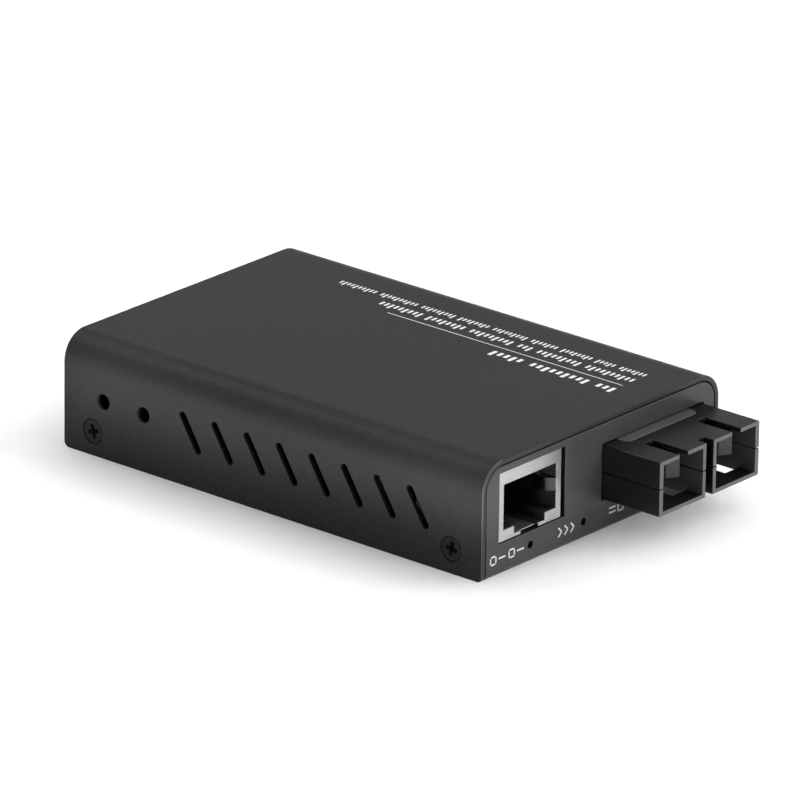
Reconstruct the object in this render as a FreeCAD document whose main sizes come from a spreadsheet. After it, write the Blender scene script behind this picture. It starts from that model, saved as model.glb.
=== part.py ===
"""Compact fibre media converter: folded steel case, copper port, duplex fibre port and the board inside.

Frame: +X is right as seen from the port side, the ports face -Y, +Z is up. The origin is the centre
of the case's underside. All lengths are millimetres.
"""
import FreeCAD, Part
import math
import os
import re

import Sketcher
from FreeCAD import Rotation, Vector

# Driving sizes. Each is one cell of the sheet, and every other length is worked out from them.
SIZES = {
    # folded cover
    "case_width": 56.0,
    "case_depth": 84.0,
    "cover_sheet": 0.8,
    "bend_radius": 4.5,
    "cover_corner": 1.0,
    "slot_count": 8,
    "slot_width": 1.1,
    "slot_first": 14.15,
    "slot_last": 24.45,
    "slot_top": 11.4,
    "slot_rise": 4.95,
    "slot_lean": 3.1,
    "key_hole_diameter": 2.5,
    "key_hole_pitch": 8.2,
    "key_hole_inset": 8.15,
    "key_hole_height": 9.35,
    "cover_screw_inset": 6.0,
    "cover_screw_height": 4.0,
    # folded tray
    "tray_sheet": 0.8,
    "tray_bend": 1.0,
    "tray_gap": 0.25,
    "flange_height": 4.6,
    "flange_relief": 1.0,
    "tab_width": 8.5,
    "tab_height": 7.2,
    "nut_side": 4.4,
    "nut_depth": 1.0,
    # screws and standoffs
    "head_diameter": 4.0,
    "shank_diameter": 2.5,
    "shank_length": 2.2,
    "thread_gap": 0.05,
    "standoff_height": 2.8,
    "standoff_corners": 5.2,
    "round_sides": 16,
    "board_screw_head": 4.4,
    "board_screw_head_height": 1.5,
    "board_screw_length": 3.8,
    # main board
    "board_side_gap": 0.65,
    "board_rear_gap": 5.0,
    "board_thickness": 1.6,
    "board_corner": 1.0,
    "board_panel_gap": 0.4,
    "board_hole_side": 3.4,
    "board_hole_front": 31.0,
    "board_hole_rear": 6.0,
    "board_hole_diameter": 2.9,
    # copper port
    "jack_inset": 11.4,
    "jack_width": 14.5,
    "jack_height": 11.1,
    "jack_headroom": 1.4,
    "jack_depth": 16.0,
    "jack_recess": 0.3,
    "jack_opening_gap": 0.2,
    "jack_opening_slack": 0.5,
    "shield_sheet": 0.25,
    "plug_width": 12.25,
    "plug_floor": 1.8,
    "plug_height": 7.2,
    "plug_depth": 11.5,
    "latch_width": 7.2,
    "latch_floor": 0.5,
    "lip_cut_width": 4.1,
    "pan_setback": 0.7,
    "pan_depth": 9.0,
    "finger_height": 2.1,
    "finger_level": 4.8,
    "finger_length": 4.8,
    "finger_bulge": 1.2,
    "contact_pitch": 1.02,
    "contact_width": 0.35,
    "contact_drop": 3.4,
    "contact_run": 5.4,
    "contact_count": 8,
    "contact_setback": 2.6,
    "contact_shoulder": 1.0,
    # duplex fibre port
    "fibre_inset": 15.8,
    "fibre_pitch": 12.7,
    "nose_length": 11.0,
    "cavity_side_wall": 0.95,
    "nose_inside": 4.0,
    "nose_corner": 0.3,
    "nose_opening_gap": 0.15,
    "cavity_width": 9.4,
    "cavity_height": 7.45,
    "cavity_wall": 0.7,
    "seam_gap": 0.12,
    "nose_notch_width": 1.7,
    "nose_notch_depth": 2.0,
    "keyway_width": 2.05,
    "keyway_length": 7.0,
    "window_inset": 3.1,
    "window_length": 5.6,
    "window_width": 3.3,
    "strip_inset": 3.4,
    "strip_depth": 2.0,
    "strip_thickness": 0.3,
    "strip_corner": 1.2,
    "insert_gap": 0.1,
    "insert_flange": 1.5,
    "holder_setback": 6.0,
    "holder_diameter": 4.7,
    "sleeve_diameter": 3.2,
    "sleeve_bore": 2.5,
    "sleeve_setback": 0.3,
    "arm_height": 3.8,
    "arm_thickness": 0.75,
    "arm_wall_gap": 0.3,
    "hook_setback": 4.2,
    "hook_reach": 2.6,
    "hook_lead": 1.2,
    "hook_land": 0.7,
    # transceiver module behind the fibre port
    "module_overlap": 0.5,
    "module_height": 9.35,
    "module_depth": 26.0,
    "module_wall": 0.4,
    "module_lap": 1.5,
    "barrel_diameter": 5.6,
    "barrel_length": 6.5,
    "barrel_nose_diameter": 4.4,
    "barrel_nose_length": 1.5,
    "module_board_level": 1.9,
    "module_board_thickness": 0.8,
    "module_board_depth": 14.0,
    "pin_count": 9,
    "pin_pitch": 2.54,
    "pin_side": 0.5,
    "pin_hole_side": 0.8,
    "pin_inset": 2.5,
    "pin_tail": 0.9,
    # status lights
    "light_count": 4,
    "light_inset": 7.1,
    "light_level": 2.9,
    "light_hole_diameter": 1.2,
    "light_width": 3.0,
    "light_body_height": 1.2,
    "light_body_depth": 1.0,
    # power inlet
    "inlet_inset": 14.0,
    "inlet_width": 9.0,
    "inlet_height": 11.0,
    "inlet_depth": 14.0,
    "inlet_recess": 0.2,
    "inlet_corner": 2.6,
    "inlet_opening_gap": 0.2,
    "inlet_axis": 6.5,
    "inlet_bore": 6.4,
    "inlet_bore_depth": 10.0,
    "inlet_pin_diameter": 2.0,
    "inlet_pin_length": 9.0,
    "inlet_leaf_width": 2.4,
    "inlet_leaf_sheet": 0.3,
    "inlet_leaf_setback": 1.0,
    # parts on the board
    "switch_side": 12.0,
    "switch_height": 1.0,
    "switch_x": -6.0,
    "switch_y": 6.0,
    "transformer_width": 15.1,
    "transformer_depth": 9.6,
    "transformer_height": 5.9,
    "transformer_gap": 1.2,
    "coil_side": 6.6,
    "coil_height": 3.2,
    "coil_crown": 0.4,
    "coil_core_diameter": 5.2,
    "coil_pitch": 9.0,
    "coil_inset": 12.2,
    "can_diameter": 6.3,
    "can_height": 5.6,
    "can_base": 0.5,
    "can_base_side": 6.8,
    "can_inset_side": 12.5,
    "can_inset": 15.2,
    "can_pitch": 9.5,
    "crystal_length": 11.0,
    "crystal_width": 4.6,
    "crystal_height": 3.5,
    "crystal_inset": 10.5,
    "crystal_y": 6.0,
    "regulator_width": 6.5,
    "regulator_depth": 6.1,
    "regulator_height": 2.3,
    "regulator_x": -2.0,
    "regulator_inset": 3.9,
}

# Places that several pieces share, each written as a formula of the sizes.
PLACES = {
    "front": "-case_depth / 2",
    "rear": "case_depth / 2",
    "side": "case_width / 2",
    "case_height": "jack_top + jack_headroom + cover_sheet",
    "cover_inner": "bend_radius - cover_sheet",
    "tray_side": "side - cover_sheet - tray_gap",
    "panel_top": "case_height - cover_sheet - tray_gap",
    "panel_corner": "bend_radius - cover_sheet - tray_gap",
    "panel_back": "front + tray_sheet",
    "slot_pitch": "(case_depth - slot_first - slot_last) / (slot_count - 1)",
    "screw_front": "front + cover_screw_inset",
    "screw_rear": "rear - cover_screw_inset",
    "bore_radius": "shank_diameter / 2 + thread_gap",
    "head_depth": "(head_diameter - shank_diameter) / 2",
    "board_bottom": "tray_sheet + standoff_height",
    "board_top": "board_bottom + board_thickness",
    "board_front": "panel_back + board_panel_gap",
    "board_rear": "rear - tray_sheet - board_rear_gap",
    "board_side": "tray_side - tray_sheet - nut_depth - board_side_gap",
    "board_hole_x": "board_side - board_hole_side",
    "board_hole_y_front": "board_front + board_hole_front",
    "board_hole_y_rear": "board_rear - board_hole_rear",
    "jack_centre": "-side + jack_inset",
    "jack_face": "front + jack_recess",
    "jack_back": "jack_face + jack_depth",
    "jack_top": "board_top + jack_height",
    "plug_bottom": "board_top + plug_floor",
    "plug_top": "plug_bottom + plug_height",
    "plug_back": "jack_face + plug_depth",
    "comb_half": "contact_pitch * contact_count / 2",
    "contact_tip": "jack_face + contact_setback",
    "fibre_centre": "side - fibre_inset",
    "nose_front": "front - nose_length",
    "nose_rear": "front + nose_inside",
    "nose_half": "port_offset + cavity_half + cavity_side_wall",
    "cavity_half": "cavity_width / 2",
    "cavity_low": "board_top + cavity_wall",
    "cavity_high": "cavity_low + cavity_height",
    "nose_top": "cavity_high + cavity_wall",
    "optic_level": "cavity_low + cavity_height / 2",
    "port_offset": "fibre_pitch / 2",
    "insert_half": "cavity_half - insert_gap",
    "holder_front": "nose_front + holder_setback",
    "sleeve_front": "holder_front + sleeve_setback",
    "sleeve_end": "nose_rear",
    "arm_outer": "cavity_half - arm_wall_gap",
    "hook_tip": "nose_front + hook_setback",
    "strip_front": "front - strip_depth",
    "strip_rear": "panel_back",
    "strip_low": "nose_top - strip_thickness",
    "strip_half": "nose_half - strip_inset",
    "module_front": "nose_rear - module_lap",
    "module_rear": "module_front + module_depth",
    "module_half": "nose_half + module_overlap",
    "module_top": "board_top + module_height",
    "module_board_low": "board_top + module_board_level",
    "module_board_rear": "module_rear - module_wall - insert_gap",
    "barrel_back": "nose_rear + barrel_nose_length + barrel_length",
    "pin_row": "module_board_rear - pin_inset",
    "light_first": "jack_centre",
    "light_pitch": "(side - light_inset - light_first) / (light_count - 1)",
    "inlet_centre": "-side + inlet_inset",
    "inlet_face": "rear - inlet_recess",
    "inlet_level": "board_top + inlet_axis",
    "inlet_bore_end": "inlet_face - inlet_bore_depth",
    "transformer_y": "jack_back + transformer_gap + transformer_depth / 2",
    "crystal_x": "board_side - crystal_inset",
    "can_x": "board_side - can_inset_side",
    "coil_x": "can_x - coil_pitch",
    "coil_y": "board_rear - coil_inset",
    "can_y": "board_rear - can_inset",
    "regulator_y": "board_rear - regulator_inset",
}

document = FreeCAD.newDocument("media_converter")
sheet = document.addObject("Spreadsheet::Sheet", "sizes")


def fill_sheet():
    """Write each driving size into its own cell."""
    for row, (name, number) in enumerate(SIZES.items(), start=1):
        sheet.set(f"A{row}", name)
        sheet.set(f"B{row}", str(number))
        sheet.setAlias(f"B{row}", name)
    document.recompute()


def formula(text):
    """Turn size and place names into references to the sheet."""

    def reference(match):
        word = match.group(0)
        if word in PLACES:
            return f"({formula(PLACES[word])})"
        return f"sizes.{word}" if word in SIZES else word

    return re.sub(r"[a-z][a-z_0-9]*", reference, str(text))


def number(text):
    """Value of a formula with the sheet as it stands."""
    return float(sheet.evalExpression(formula(text)))


def bind(item, **formulas):
    """Bind properties of an object to formulas; a double underscore stands for a dot."""
    for name, text in formulas.items():
        item.setExpression(name.replace("__", "."), formula(text))
    return item


# ---------------------------------------------------------------- plain solids and booleans

AXIS_TURNS = {
    "x": Rotation(Vector(0, 1, 0), 90),
    "y": Rotation(Vector(1, 0, 0), -90),
    "z": Rotation(),
}


def seat(item, x, y, z, turn=None):
    """Put an object's origin at a bound place."""
    item.Placement.Rotation = turn or Rotation()
    return bind(item, Placement__Base__x=x, Placement__Base__y=y, Placement__Base__z=z)


def box(name, x, y, z):
    """Box between a low and a high formula on each axis."""
    item = document.addObject("Part::Box", name)
    spans = [f"({high}) - ({low})" for low, high in (x, y, z)]
    bind(item, Length=spans[0], Width=spans[1], Height=spans[2])
    return seat(item, x[0], y[0], z[0])


def rod(name, axis, start, diameter, length):
    """Cylinder from a start point along one axis."""
    item = document.addObject("Part::Cylinder", name)
    bind(item, Radius=f"({diameter}) / 2", Height=length)
    return seat(item, *start, turn=AXIS_TURNS[axis])


def column(name, start, across, length, sides="round_sides"):
    """Upright many-sided column from a start point, measured across its corners."""
    item = document.addObject("Part::Prism", name)
    bind(item, Polygon=sides, Circumradius=f"({across}) / 2", Height=length)
    return seat(item, *start)


def cone(name, axis, start, diameters, length):
    """Cone from a start point along one axis, with its first and last diameters."""
    item = document.addObject("Part::Cone", name)
    bind(item, Radius1=f"({diameters[0]}) / 2", Radius2=f"({diameters[1]}) / 2", Height=length)
    return seat(item, *start, turn=AXIS_TURNS[axis])


def fuse(name, pieces):
    """One solid from touching or crossing pieces."""
    item = document.addObject("Part::MultiFuse", name)
    item.Shapes = pieces
    item.Refine = True
    return item


def group(name, pieces):
    """Separate solids that share one node."""
    item = document.addObject("Part::Compound", name)
    item.Links = pieces
    return item


def cut(name, base, tools):
    """Base with one or more tools taken away."""
    item = document.addObject("Part::Cut", name)
    item.Base = base
    item.Tool = tools[0] if len(tools) == 1 else fuse(name + "_tools", tools)
    item.Refine = True
    return item


# ---------------------------------------------------------------- sketches and body features


def new_body(name):
    """Empty part-design body."""
    return document.addObject("PartDesign::Body", name)


def origin_part(body, role):
    """One of the body's own origin planes or axes."""
    return next(item for item in body.Origin.OriginFeatures if item.Role == role)


def new_sketch(body, role, offset="0"):
    """Sketch on one of the body's own planes, moved along the plane's normal."""
    sketch = body.newObject("Sketcher::SketchObject", f"{body.Name}_outline")
    sketch.AttachmentSupport = [(origin_part(body, role), "")]
    sketch.MapMode = "FlatFace"
    return bind(sketch, AttachmentOffset__Base__z=offset)


def hold(sketch, kind, *where, text):
    """Add a dimension to a sketch and bind it to a formula."""
    index = sketch.addConstraint(Sketcher.Constraint(kind, *where, number(text)))
    sketch.setExpression(f"Constraints[{index}]", formula(text))


def pin_point(sketch, geometry, point, u, v):
    """Hold a point of a sketch at a bound distance from the sketch's origin."""
    hold(sketch, "DistanceX", -1, 1, geometry, point, text=u)
    hold(sketch, "DistanceY", -1, 1, geometry, point, text=v)


def arc_between(first, last, radius):
    """Short arc from one point to another: a positive radius turns left, a negative one right."""
    chord = last - first
    reach = math.sqrt(max(radius * radius - chord.Length * chord.Length / 4, 0.0))
    left = Vector(-chord.y, chord.x, 0).normalize()
    centre = (first + last) * 0.5 + left * math.copysign(reach, radius)
    ends = (first, last) if radius > 0 else (last, first)
    angles = [math.atan2(end.y - centre.y, end.x - centre.x) for end in ends]
    if angles[1] < angles[0]:
        angles[1] += 2 * math.pi
    return Part.ArcOfCircle(Part.Circle(centre, Vector(0, 0, 1), abs(radius)), *angles)


def outline(sketch, steps):
    """Closed outline through the steps. A step is (u, v), or (u, v, radius) where an arc ends."""
    points = [Vector(number(step[0]), number(step[1]), 0) for step in steps]
    ends = []
    for index, step in enumerate(steps):
        first, last = points[index - 1], points[index]
        if len(step) == 2:
            edge = sketch.addGeometry(Part.LineSegment(first, last), False)
            ends.append((edge, 1, 2))
            continue
        radius = number(step[2])
        edge = sketch.addGeometry(arc_between(first, last, radius), False)
        ends.append((edge, 1, 2) if radius > 0 else (edge, 2, 1))
        hold(sketch, "Radius", edge, text=f"abs({step[2]})")
    for index, (edge, start, end) in enumerate(ends):
        before, _, tail = ends[index - 1]
        sketch.addConstraint(Sketcher.Constraint("Coincident", before, tail, edge, start))
        pin_point(sketch, edge, end, steps[index][0], steps[index][1])
    return sketch


def rectangle(sketch, u, v):
    """Closed rectangle between a low and a high formula on each sketch axis."""
    return outline(sketch, [(u[0], v[0]), (u[1], v[0]), (u[1], v[1]), (u[0], v[1])])


def circle(sketch, u, v, diameter):
    """Full circle."""
    middle = Vector(number(u), number(v), 0)
    edge = sketch.addGeometry(Part.Circle(middle, Vector(0, 0, 1), number(diameter) / 2), False)
    pin_point(sketch, edge, 3, u, v)
    hold(sketch, "Radius", edge, text=f"({diameter}) / 2")
    return sketch


def leaning_slot(sketch, low, high, width):
    """Round-ended slot between the centres of its two ends."""
    centres = [Vector(number(end[0]), number(end[1]), 0) for end in (low, high)]
    radius = number(width) / 2
    along = (centres[1] - centres[0]).normalize()
    left = Vector(-along.y, along.x, 0) * radius
    heading = math.atan2(along.y, along.x)
    quarter = math.pi / 2
    caps = []
    for centre, start in ((centres[0], heading + quarter), (centres[1], heading - quarter)):
        whole = Part.Circle(centre, Vector(0, 0, 1), radius)
        caps.append(sketch.addGeometry(Part.ArcOfCircle(whole, start, start + math.pi), False))
    right_side = sketch.addGeometry(Part.LineSegment(centres[0] - left, centres[1] - left), False)
    left_side = sketch.addGeometry(Part.LineSegment(centres[1] + left, centres[0] + left), False)
    joints = ((caps[0], 2, right_side, 1), (right_side, 2, caps[1], 1))
    joints += ((caps[1], 2, left_side, 1), (left_side, 2, caps[0], 1))
    for joint in joints:
        sketch.addConstraint(Sketcher.Constraint("Tangent", *joint))
    pin_point(sketch, caps[0], 3, *low)
    pin_point(sketch, caps[1], 3, *high)
    hold(sketch, "Radius", caps[0], text=f"({width}) / 2")
    return sketch


def pad(body, sketch, length, both=False, back=False):
    """Extrude a sketch along its normal, about its plane, or backwards."""
    item = body.newObject("PartDesign::Pad", f"{body.Name}_pad")
    item.Profile = sketch
    item.Midplane = both
    item.Reversed = back
    return bind(item, Length=length)


def pocket(body, sketch, length=None, both=False, back=False):
    """Cut a sketch into the body to a depth, or right through where no depth is given."""
    item = body.newObject("PartDesign::Pocket", f"{body.Name}_pocket")
    item.Profile = sketch
    item.Midplane = both
    item.Reversed = back
    if length is None:
        item.Type = "ThroughAll"
        return item
    return bind(item, Length=length)


def repeat(body, features, axis, count, pitch, back=False):
    """Linear pattern of features along one of the body's axes."""
    item = body.newObject("PartDesign::LinearPattern", f"{body.Name}_row")
    item.Originals = features
    item.Direction = (origin_part(body, axis), [""])
    item.Reversed = back
    bind(item, Length=f"({pitch}) * ({count} - 1)", Occurrences=count)
    body.Tip = item
    return item


def mirror(body, features, plane):
    """Mirror features about one of the body's planes."""
    item = body.newObject("PartDesign::Mirrored", f"{body.Name}_mirror")
    item.Originals = features
    item.MirrorPlane = (origin_part(body, plane), [""])
    body.Tip = item
    return item


def soften(body, radius, wanted):
    """Fillet the edges of the body's tip that a test on the edge picks."""
    document.recompute()
    tip = body.Tip
    picked = [f"Edge{index}" for index, edge in enumerate(tip.Shape.Edges, start=1) if wanted(edge)]
    item = body.newObject("PartDesign::Fillet", f"{body.Name}_fillet")
    item.Base = (tip, picked)
    return bind(item, Radius=radius)


def runs_along(edge, axis):
    """Whether an edge is straight and parallel to an axis."""
    if edge.Curve.TypeId != "Part::GeomLine":
        return False
    direction = edge.Curve.Direction
    return abs(abs(direction.dot(axis)) - 1) < NEAR


def lies_at(edge, **places):
    """Whether an edge's middle has the given size on each named axis, on either side of zero."""
    middle = edge.CenterOfMass
    return all(abs(abs(getattr(middle, axis)) - abs(number(text))) < NEAR for axis, text in places.items())


NEAR = 0.001
X_AXIS = Vector(1, 0, 0)
Y_AXIS = Vector(0, 1, 0)
Z_AXIS = Vector(0, 0, 1)
SIDES = (-1, 1)
INWARD_FROM_RIGHT = Rotation(Vector(0, 1, 0), -90)


# ---------------------------------------------------------------- case


def make_top_cover():
    """Cover folded from one sheet: top and two sides, with slanted slots and countersunk holes."""
    body = new_body("folded_cover")
    section = new_sketch(body, "XZ_Plane")
    outline(section, [
        ("-side", "0"),
        ("-side + cover_sheet", "0"),
        ("-side + cover_sheet", "case_height - bend_radius"),
        ("-side + bend_radius", "case_height - cover_sheet", "-(cover_inner)"),
        ("side - bend_radius", "case_height - cover_sheet"),
        ("side - cover_sheet", "case_height - bend_radius", "-(cover_inner)"),
        ("side - cover_sheet", "0"),
        ("side", "0"),
        ("side", "case_height - bend_radius"),
        ("side - bend_radius", "case_height", "bend_radius"),
        ("-side + bend_radius", "case_height"),
        ("-side", "case_height - bend_radius", "bend_radius"),
    ])
    pad(body, section, "case_depth", both=True)
    soften(body, "cover_corner", lambda edge: runs_along(edge, X_AXIS) and lies_at(edge, y="rear", z="0"))
    slot = new_sketch(body, "YZ_Plane")
    foot = "front + slot_first - slot_lean"
    leaning_slot(slot, (foot, "slot_top - slot_rise"), ("front + slot_first", "slot_top"), "slot_width")
    slots = pocket(body, slot, "case_width * 2", both=True)
    repeat(body, [slots], "Y_Axis", "slot_count", "slot_pitch")
    holes = new_sketch(body, "YZ_Plane")
    circle(holes, "rear - key_hole_inset", "key_hole_height", "key_hole_diameter")
    circle(holes, "rear - key_hole_inset - key_hole_pitch", "key_hole_height", "key_hole_diameter")
    pocket(body, holes, "case_width * 2", both=True)
    return countersink(body)


def countersink(body):
    """Open the cover's four screw holes: bores through the sheet, with cones that the heads fill."""
    seats = []
    for hand in SIDES:
        for end in ("front", "rear"):
            name = f"seat_{'left' if hand < 0 else 'right'}_{end}"
            seats.append(screw_cone(name, hand, f"screw_{end}", "thread_gap"))
            bore = screw_rod(name + "_bore", hand, f"screw_{end}", "0", "bore_radius * 2")
            seats.append(bore)
    return cut("top_cover", body, seats)


def screw_rod(name, hand, y, inset, diameter):
    """Round rod on a cover screw's axis, starting some way in from the cover's side."""
    start = (f"{hand} * (side - {inset})", y, "cover_screw_height")
    item = rod(name, "x", start, diameter, "shank_length")
    if hand > 0:
        item.Placement.Rotation = INWARD_FROM_RIGHT
    return item


def screw_cone(name, hand, y, gap):
    """Ninety degree cone of a screw head, widened all round by a gap."""
    wide, narrow = f"head_diameter + 2 * {gap}", f"shank_diameter + 2 * {gap}"
    start = (f"{hand} * side", y, "cover_screw_height")
    item = cone(name, "x", start, (wide, narrow), "head_depth")
    if hand > 0:
        item.Placement.Rotation = INWARD_FROM_RIGHT
    return item


def make_cover_screws():
    """Four countersunk screws that hold the cover's sides to the tray's tabs."""
    screws = []
    for hand in SIDES:
        for end in ("front", "rear"):
            name = f"cover_screw_{'left' if hand < 0 else 'right'}_{end}"
            head = screw_cone(name + "_head", hand, f"screw_{end}", "0")
            shank = screw_rod(name + "_shank", hand, f"screw_{end}", "head_depth", "shank_diameter")
            screws.append(fuse(name, [head, shank]))
    return group("cover_screws", screws)


def make_base_tray():
    """Tray folded from one sheet: floor, port panel, rear panel and low side flanges."""
    body = new_body("base_tray")
    fold = "tray_bend - tray_sheet"
    section = new_sketch(body, "YZ_Plane")
    outline(section, [
        ("rear - tray_bend", "0"),
        ("rear", "tray_bend", "tray_bend"),
        ("rear", "panel_top"),
        ("rear - tray_sheet", "panel_top"),
        ("rear - tray_sheet", "tray_bend"),
        ("rear - tray_bend", "tray_sheet", f"-({fold})"),
        ("front + tray_bend", "tray_sheet"),
        ("panel_back", "tray_bend", f"-({fold})"),
        ("panel_back", "panel_top"),
        ("front", "panel_top"),
        ("front", "tray_bend"),
        ("front + tray_bend", "0", "tray_bend"),
    ])
    pad(body, section, "tray_side * 2", both=True)
    soften(body, "panel_corner", lambda edge: runs_along(edge, Y_AXIS) and lies_at(edge, z="panel_top"))
    add_tray_flange(body)
    cut_tray_openings(body)
    return body


def add_tray_flange(body):
    """Side flange with two taller tabs, each with a square nut behind it for a cover screw."""
    low, high = "panel_back + flange_relief", "rear - tray_sheet - flange_relief"
    flange = new_sketch(body, "YZ_Plane", "tray_side - tray_sheet")
    outline(flange, [
        (low, "0"),
        (high, "0"),
        (high, "tab_height"),
        (f"{high} - tab_width", "tab_height"),
        (f"{high} - tab_width", "flange_height"),
        (f"{low} + tab_width", "flange_height"),
        (f"{low} + tab_width", "tab_height"),
        (low, "tab_height"),
    ])
    wall = pad(body, flange, "tray_sheet")
    nuts = new_sketch(body, "YZ_Plane", "tray_side - tray_sheet - nut_depth")
    for centre in ("screw_front", "screw_rear"):
        rectangle(nuts, (f"{centre} - nut_side / 2", f"{centre} + nut_side / 2"),
                  ("cover_screw_height - nut_side / 2", "cover_screw_height + nut_side / 2"))
    nut = pad(body, nuts, "nut_depth")
    bores = new_sketch(body, "YZ_Plane", "tray_side")
    for centre in ("screw_front", "screw_rear"):
        circle(bores, centre, "cover_screw_height", "bore_radius * 2")
    bore = pocket(body, bores, "tray_sheet + nut_depth")
    mirror(body, [wall, nut, bore], "YZ_Plane")


def cut_tray_openings(body):
    """Openings for the copper port, the fibre port, the status lights and the power inlet."""
    ports = new_sketch(body, "XZ_Plane", "-front")
    jack_half = "(jack_width / 2 + jack_opening_gap)"
    level = "jack_opening_gap / 2"
    rectangle(ports, (f"jack_centre - {jack_half}", f"jack_centre + {jack_half} + jack_opening_slack"),
              (f"board_top - {level}", f"jack_top + {level}"))
    nose = "(nose_half + nose_opening_gap)"
    rectangle(ports, (f"fibre_centre - {nose}", f"fibre_centre + {nose}"),
              ("board_top - nose_opening_gap", "nose_top + nose_opening_gap"))
    pocket(body, ports, "tray_sheet")
    light = new_sketch(body, "XZ_Plane", "-front")
    circle(light, "light_first", "light_level", "light_hole_diameter")
    hole = pocket(body, light, "tray_sheet")
    repeat(body, [hole], "X_Axis", "light_count", "light_pitch")
    inlet = new_sketch(body, "XZ_Plane", "-rear")
    inlet_outline(inlet, "inlet_opening_gap")
    pocket(body, inlet, "tray_sheet", back=True)


def inlet_outline(sketch, gap):
    """Power inlet seen end on, with round shoulders, widened all round by a gap."""
    half = f"(inlet_width / 2 + {gap})"
    top = f"(board_top + inlet_height + {gap})"
    return outline(sketch, [
        (f"inlet_centre - {half}", f"board_top - {gap}"),
        (f"inlet_centre + {half}", f"board_top - {gap}"),
        (f"inlet_centre + {half}", f"{top} - inlet_corner"),
        (f"inlet_centre + {half} - inlet_corner", top, "inlet_corner"),
        (f"inlet_centre - {half} + inlet_corner", top),
        (f"inlet_centre - {half}", f"{top} - inlet_corner", "inlet_corner"),
    ])


# ---------------------------------------------------------------- main board and its fixings


def board_fixings():
    """Name and place of each of the board's four fixing points."""
    for hand in SIDES:
        for end in ("front", "rear"):
            name = f"{'left' if hand < 0 else 'right'}_{end}"
            yield name, f"{hand} * board_hole_x", f"board_hole_y_{end}"


def make_board_standoffs():
    """Four bored hexagonal standoffs pressed onto the tray's floor."""
    posts = []
    for name, x, y in board_fixings():
        foot = (x, y, "tray_sheet")
        outside = column(f"standoff_outside_{name}", foot, "standoff_corners", "standoff_height", "6")
        bore = column(f"standoff_bore_{name}", foot, "bore_radius * 2", "standoff_height")
        posts.append(cut(f"standoff_{name}", outside, [bore]))
    return group("board_standoffs", posts)


def make_board_screws():
    """Four pan head screws that clamp the board to its standoffs."""
    screws = []
    for name, x, y in board_fixings():
        head = column(f"pan_{name}", (x, y, "board_top"), "board_screw_head", "board_screw_head_height")
        foot = (x, y, "board_top - board_screw_length")
        shank = column(f"board_shank_{name}", foot, "shank_diameter", "board_screw_length")
        screws.append(fuse(f"board_screw_{name}", [head, shank]))
    return group("board_screws", screws)


def make_main_board():
    """Circuit board with fixing holes and a row of holes for the module's pins."""
    body = new_body("board_plate")
    half = "board_side"
    plate = new_sketch(body, "XY_Plane", "board_bottom")
    outline(plate, [
        (f"{half} - board_corner", "board_front"),
        (half, "board_front + board_corner", "board_corner"),
        (half, "board_rear - board_corner"),
        (f"{half} - board_corner", "board_rear", "board_corner"),
        (f"-{half} + board_corner", "board_rear"),
        (f"-{half}", "board_rear - board_corner", "board_corner"),
        (f"-{half}", "board_front + board_corner"),
        (f"-{half} + board_corner", "board_front", "board_corner"),
    ])
    pad(body, plate, "board_thickness")
    pin = new_sketch(body, "XY_Plane", "board_top")
    first, half_hole = "fibre_centre - pin_pitch * (pin_count - 1) / 2", "pin_hole_side / 2"
    rectangle(pin, (f"{first} - {half_hole}", f"{first} + {half_hole}"),
              (f"pin_row - {half_hole}", f"pin_row + {half_hole}"))
    hole = pocket(body, pin, "board_thickness")
    repeat(body, [hole], "X_Axis", "pin_count", "pin_pitch")
    holes = []
    for name, x, y in board_fixings():
        foot = (x, y, "board_bottom")
        holes.append(column(f"board_hole_{name}", foot, "board_hole_diameter", "board_thickness"))
    return cut("main_board", body, holes)


# ---------------------------------------------------------------- copper port


def jack_span(half):
    """Low and high place of something centred on the copper port."""
    return (f"jack_centre - ({half})", f"jack_centre + ({half})")


def make_jack_shield():
    """Thin plated box round the port, with the plug-shaped mouth, side springs and a floor pan."""
    wall = "shield_sheet"
    outer = box("shield_outer", jack_span("jack_width / 2"), ("jack_face", "jack_back"),
                ("board_top", "jack_top"))
    inner = box("shield_inner", jack_span(f"jack_width / 2 - {wall}"),
                (f"jack_face + {wall}", f"jack_back - {wall}"), ("board_top", f"jack_top - {wall}"))
    depth = ("jack_face", f"jack_face + {wall}")
    mouth = box("shield_mouth", jack_span("plug_width / 2"), depth, ("plug_bottom", "plug_top"))
    floor = "board_top + latch_floor"
    latch = box("shield_latch", jack_span("latch_width / 2"), depth, (floor, "plug_bottom"))
    lip = box("shield_lip", jack_span("lip_cut_width / 2"), depth, ("board_top", floor))
    shell = cut("shield_shell", outer, [inner, mouth, latch, lip])
    pan = box("shield_pan", jack_span("jack_width / 2"),
              ("jack_face + pan_setback", "jack_face + pan_setback + pan_depth"),
              ("board_top", f"board_top + {wall}"))
    springs = [make_finger("left", -1), make_finger("right", 1)]
    return fuse("rj45_shield", [shell, pan] + springs)


def make_finger(name, hand):
    """Curved spring folded back from the shield's mouth, bowed towards the plug."""
    body = new_body(f"finger_{name}")
    edge = f"jack_centre + {hand} * plug_width / 2"
    start, end = "jack_face", "jack_face + finger_length"
    bow = "(finger_length * finger_length / 4 + finger_bulge * finger_bulge) / (2 * finger_bulge)"
    strip = new_sketch(body, "XY_Plane", "plug_bottom + finger_level - finger_height")
    outline(strip, [
        (f"{edge} + {hand} * shield_sheet", start),
        (f"{edge} + {hand} * shield_sheet", end, f"{-hand} * ({bow})"),
        (edge, end),
        (edge, start, f"{hand} * ({bow})"),
    ])
    pad(body, strip, "finger_height")
    return body


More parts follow.
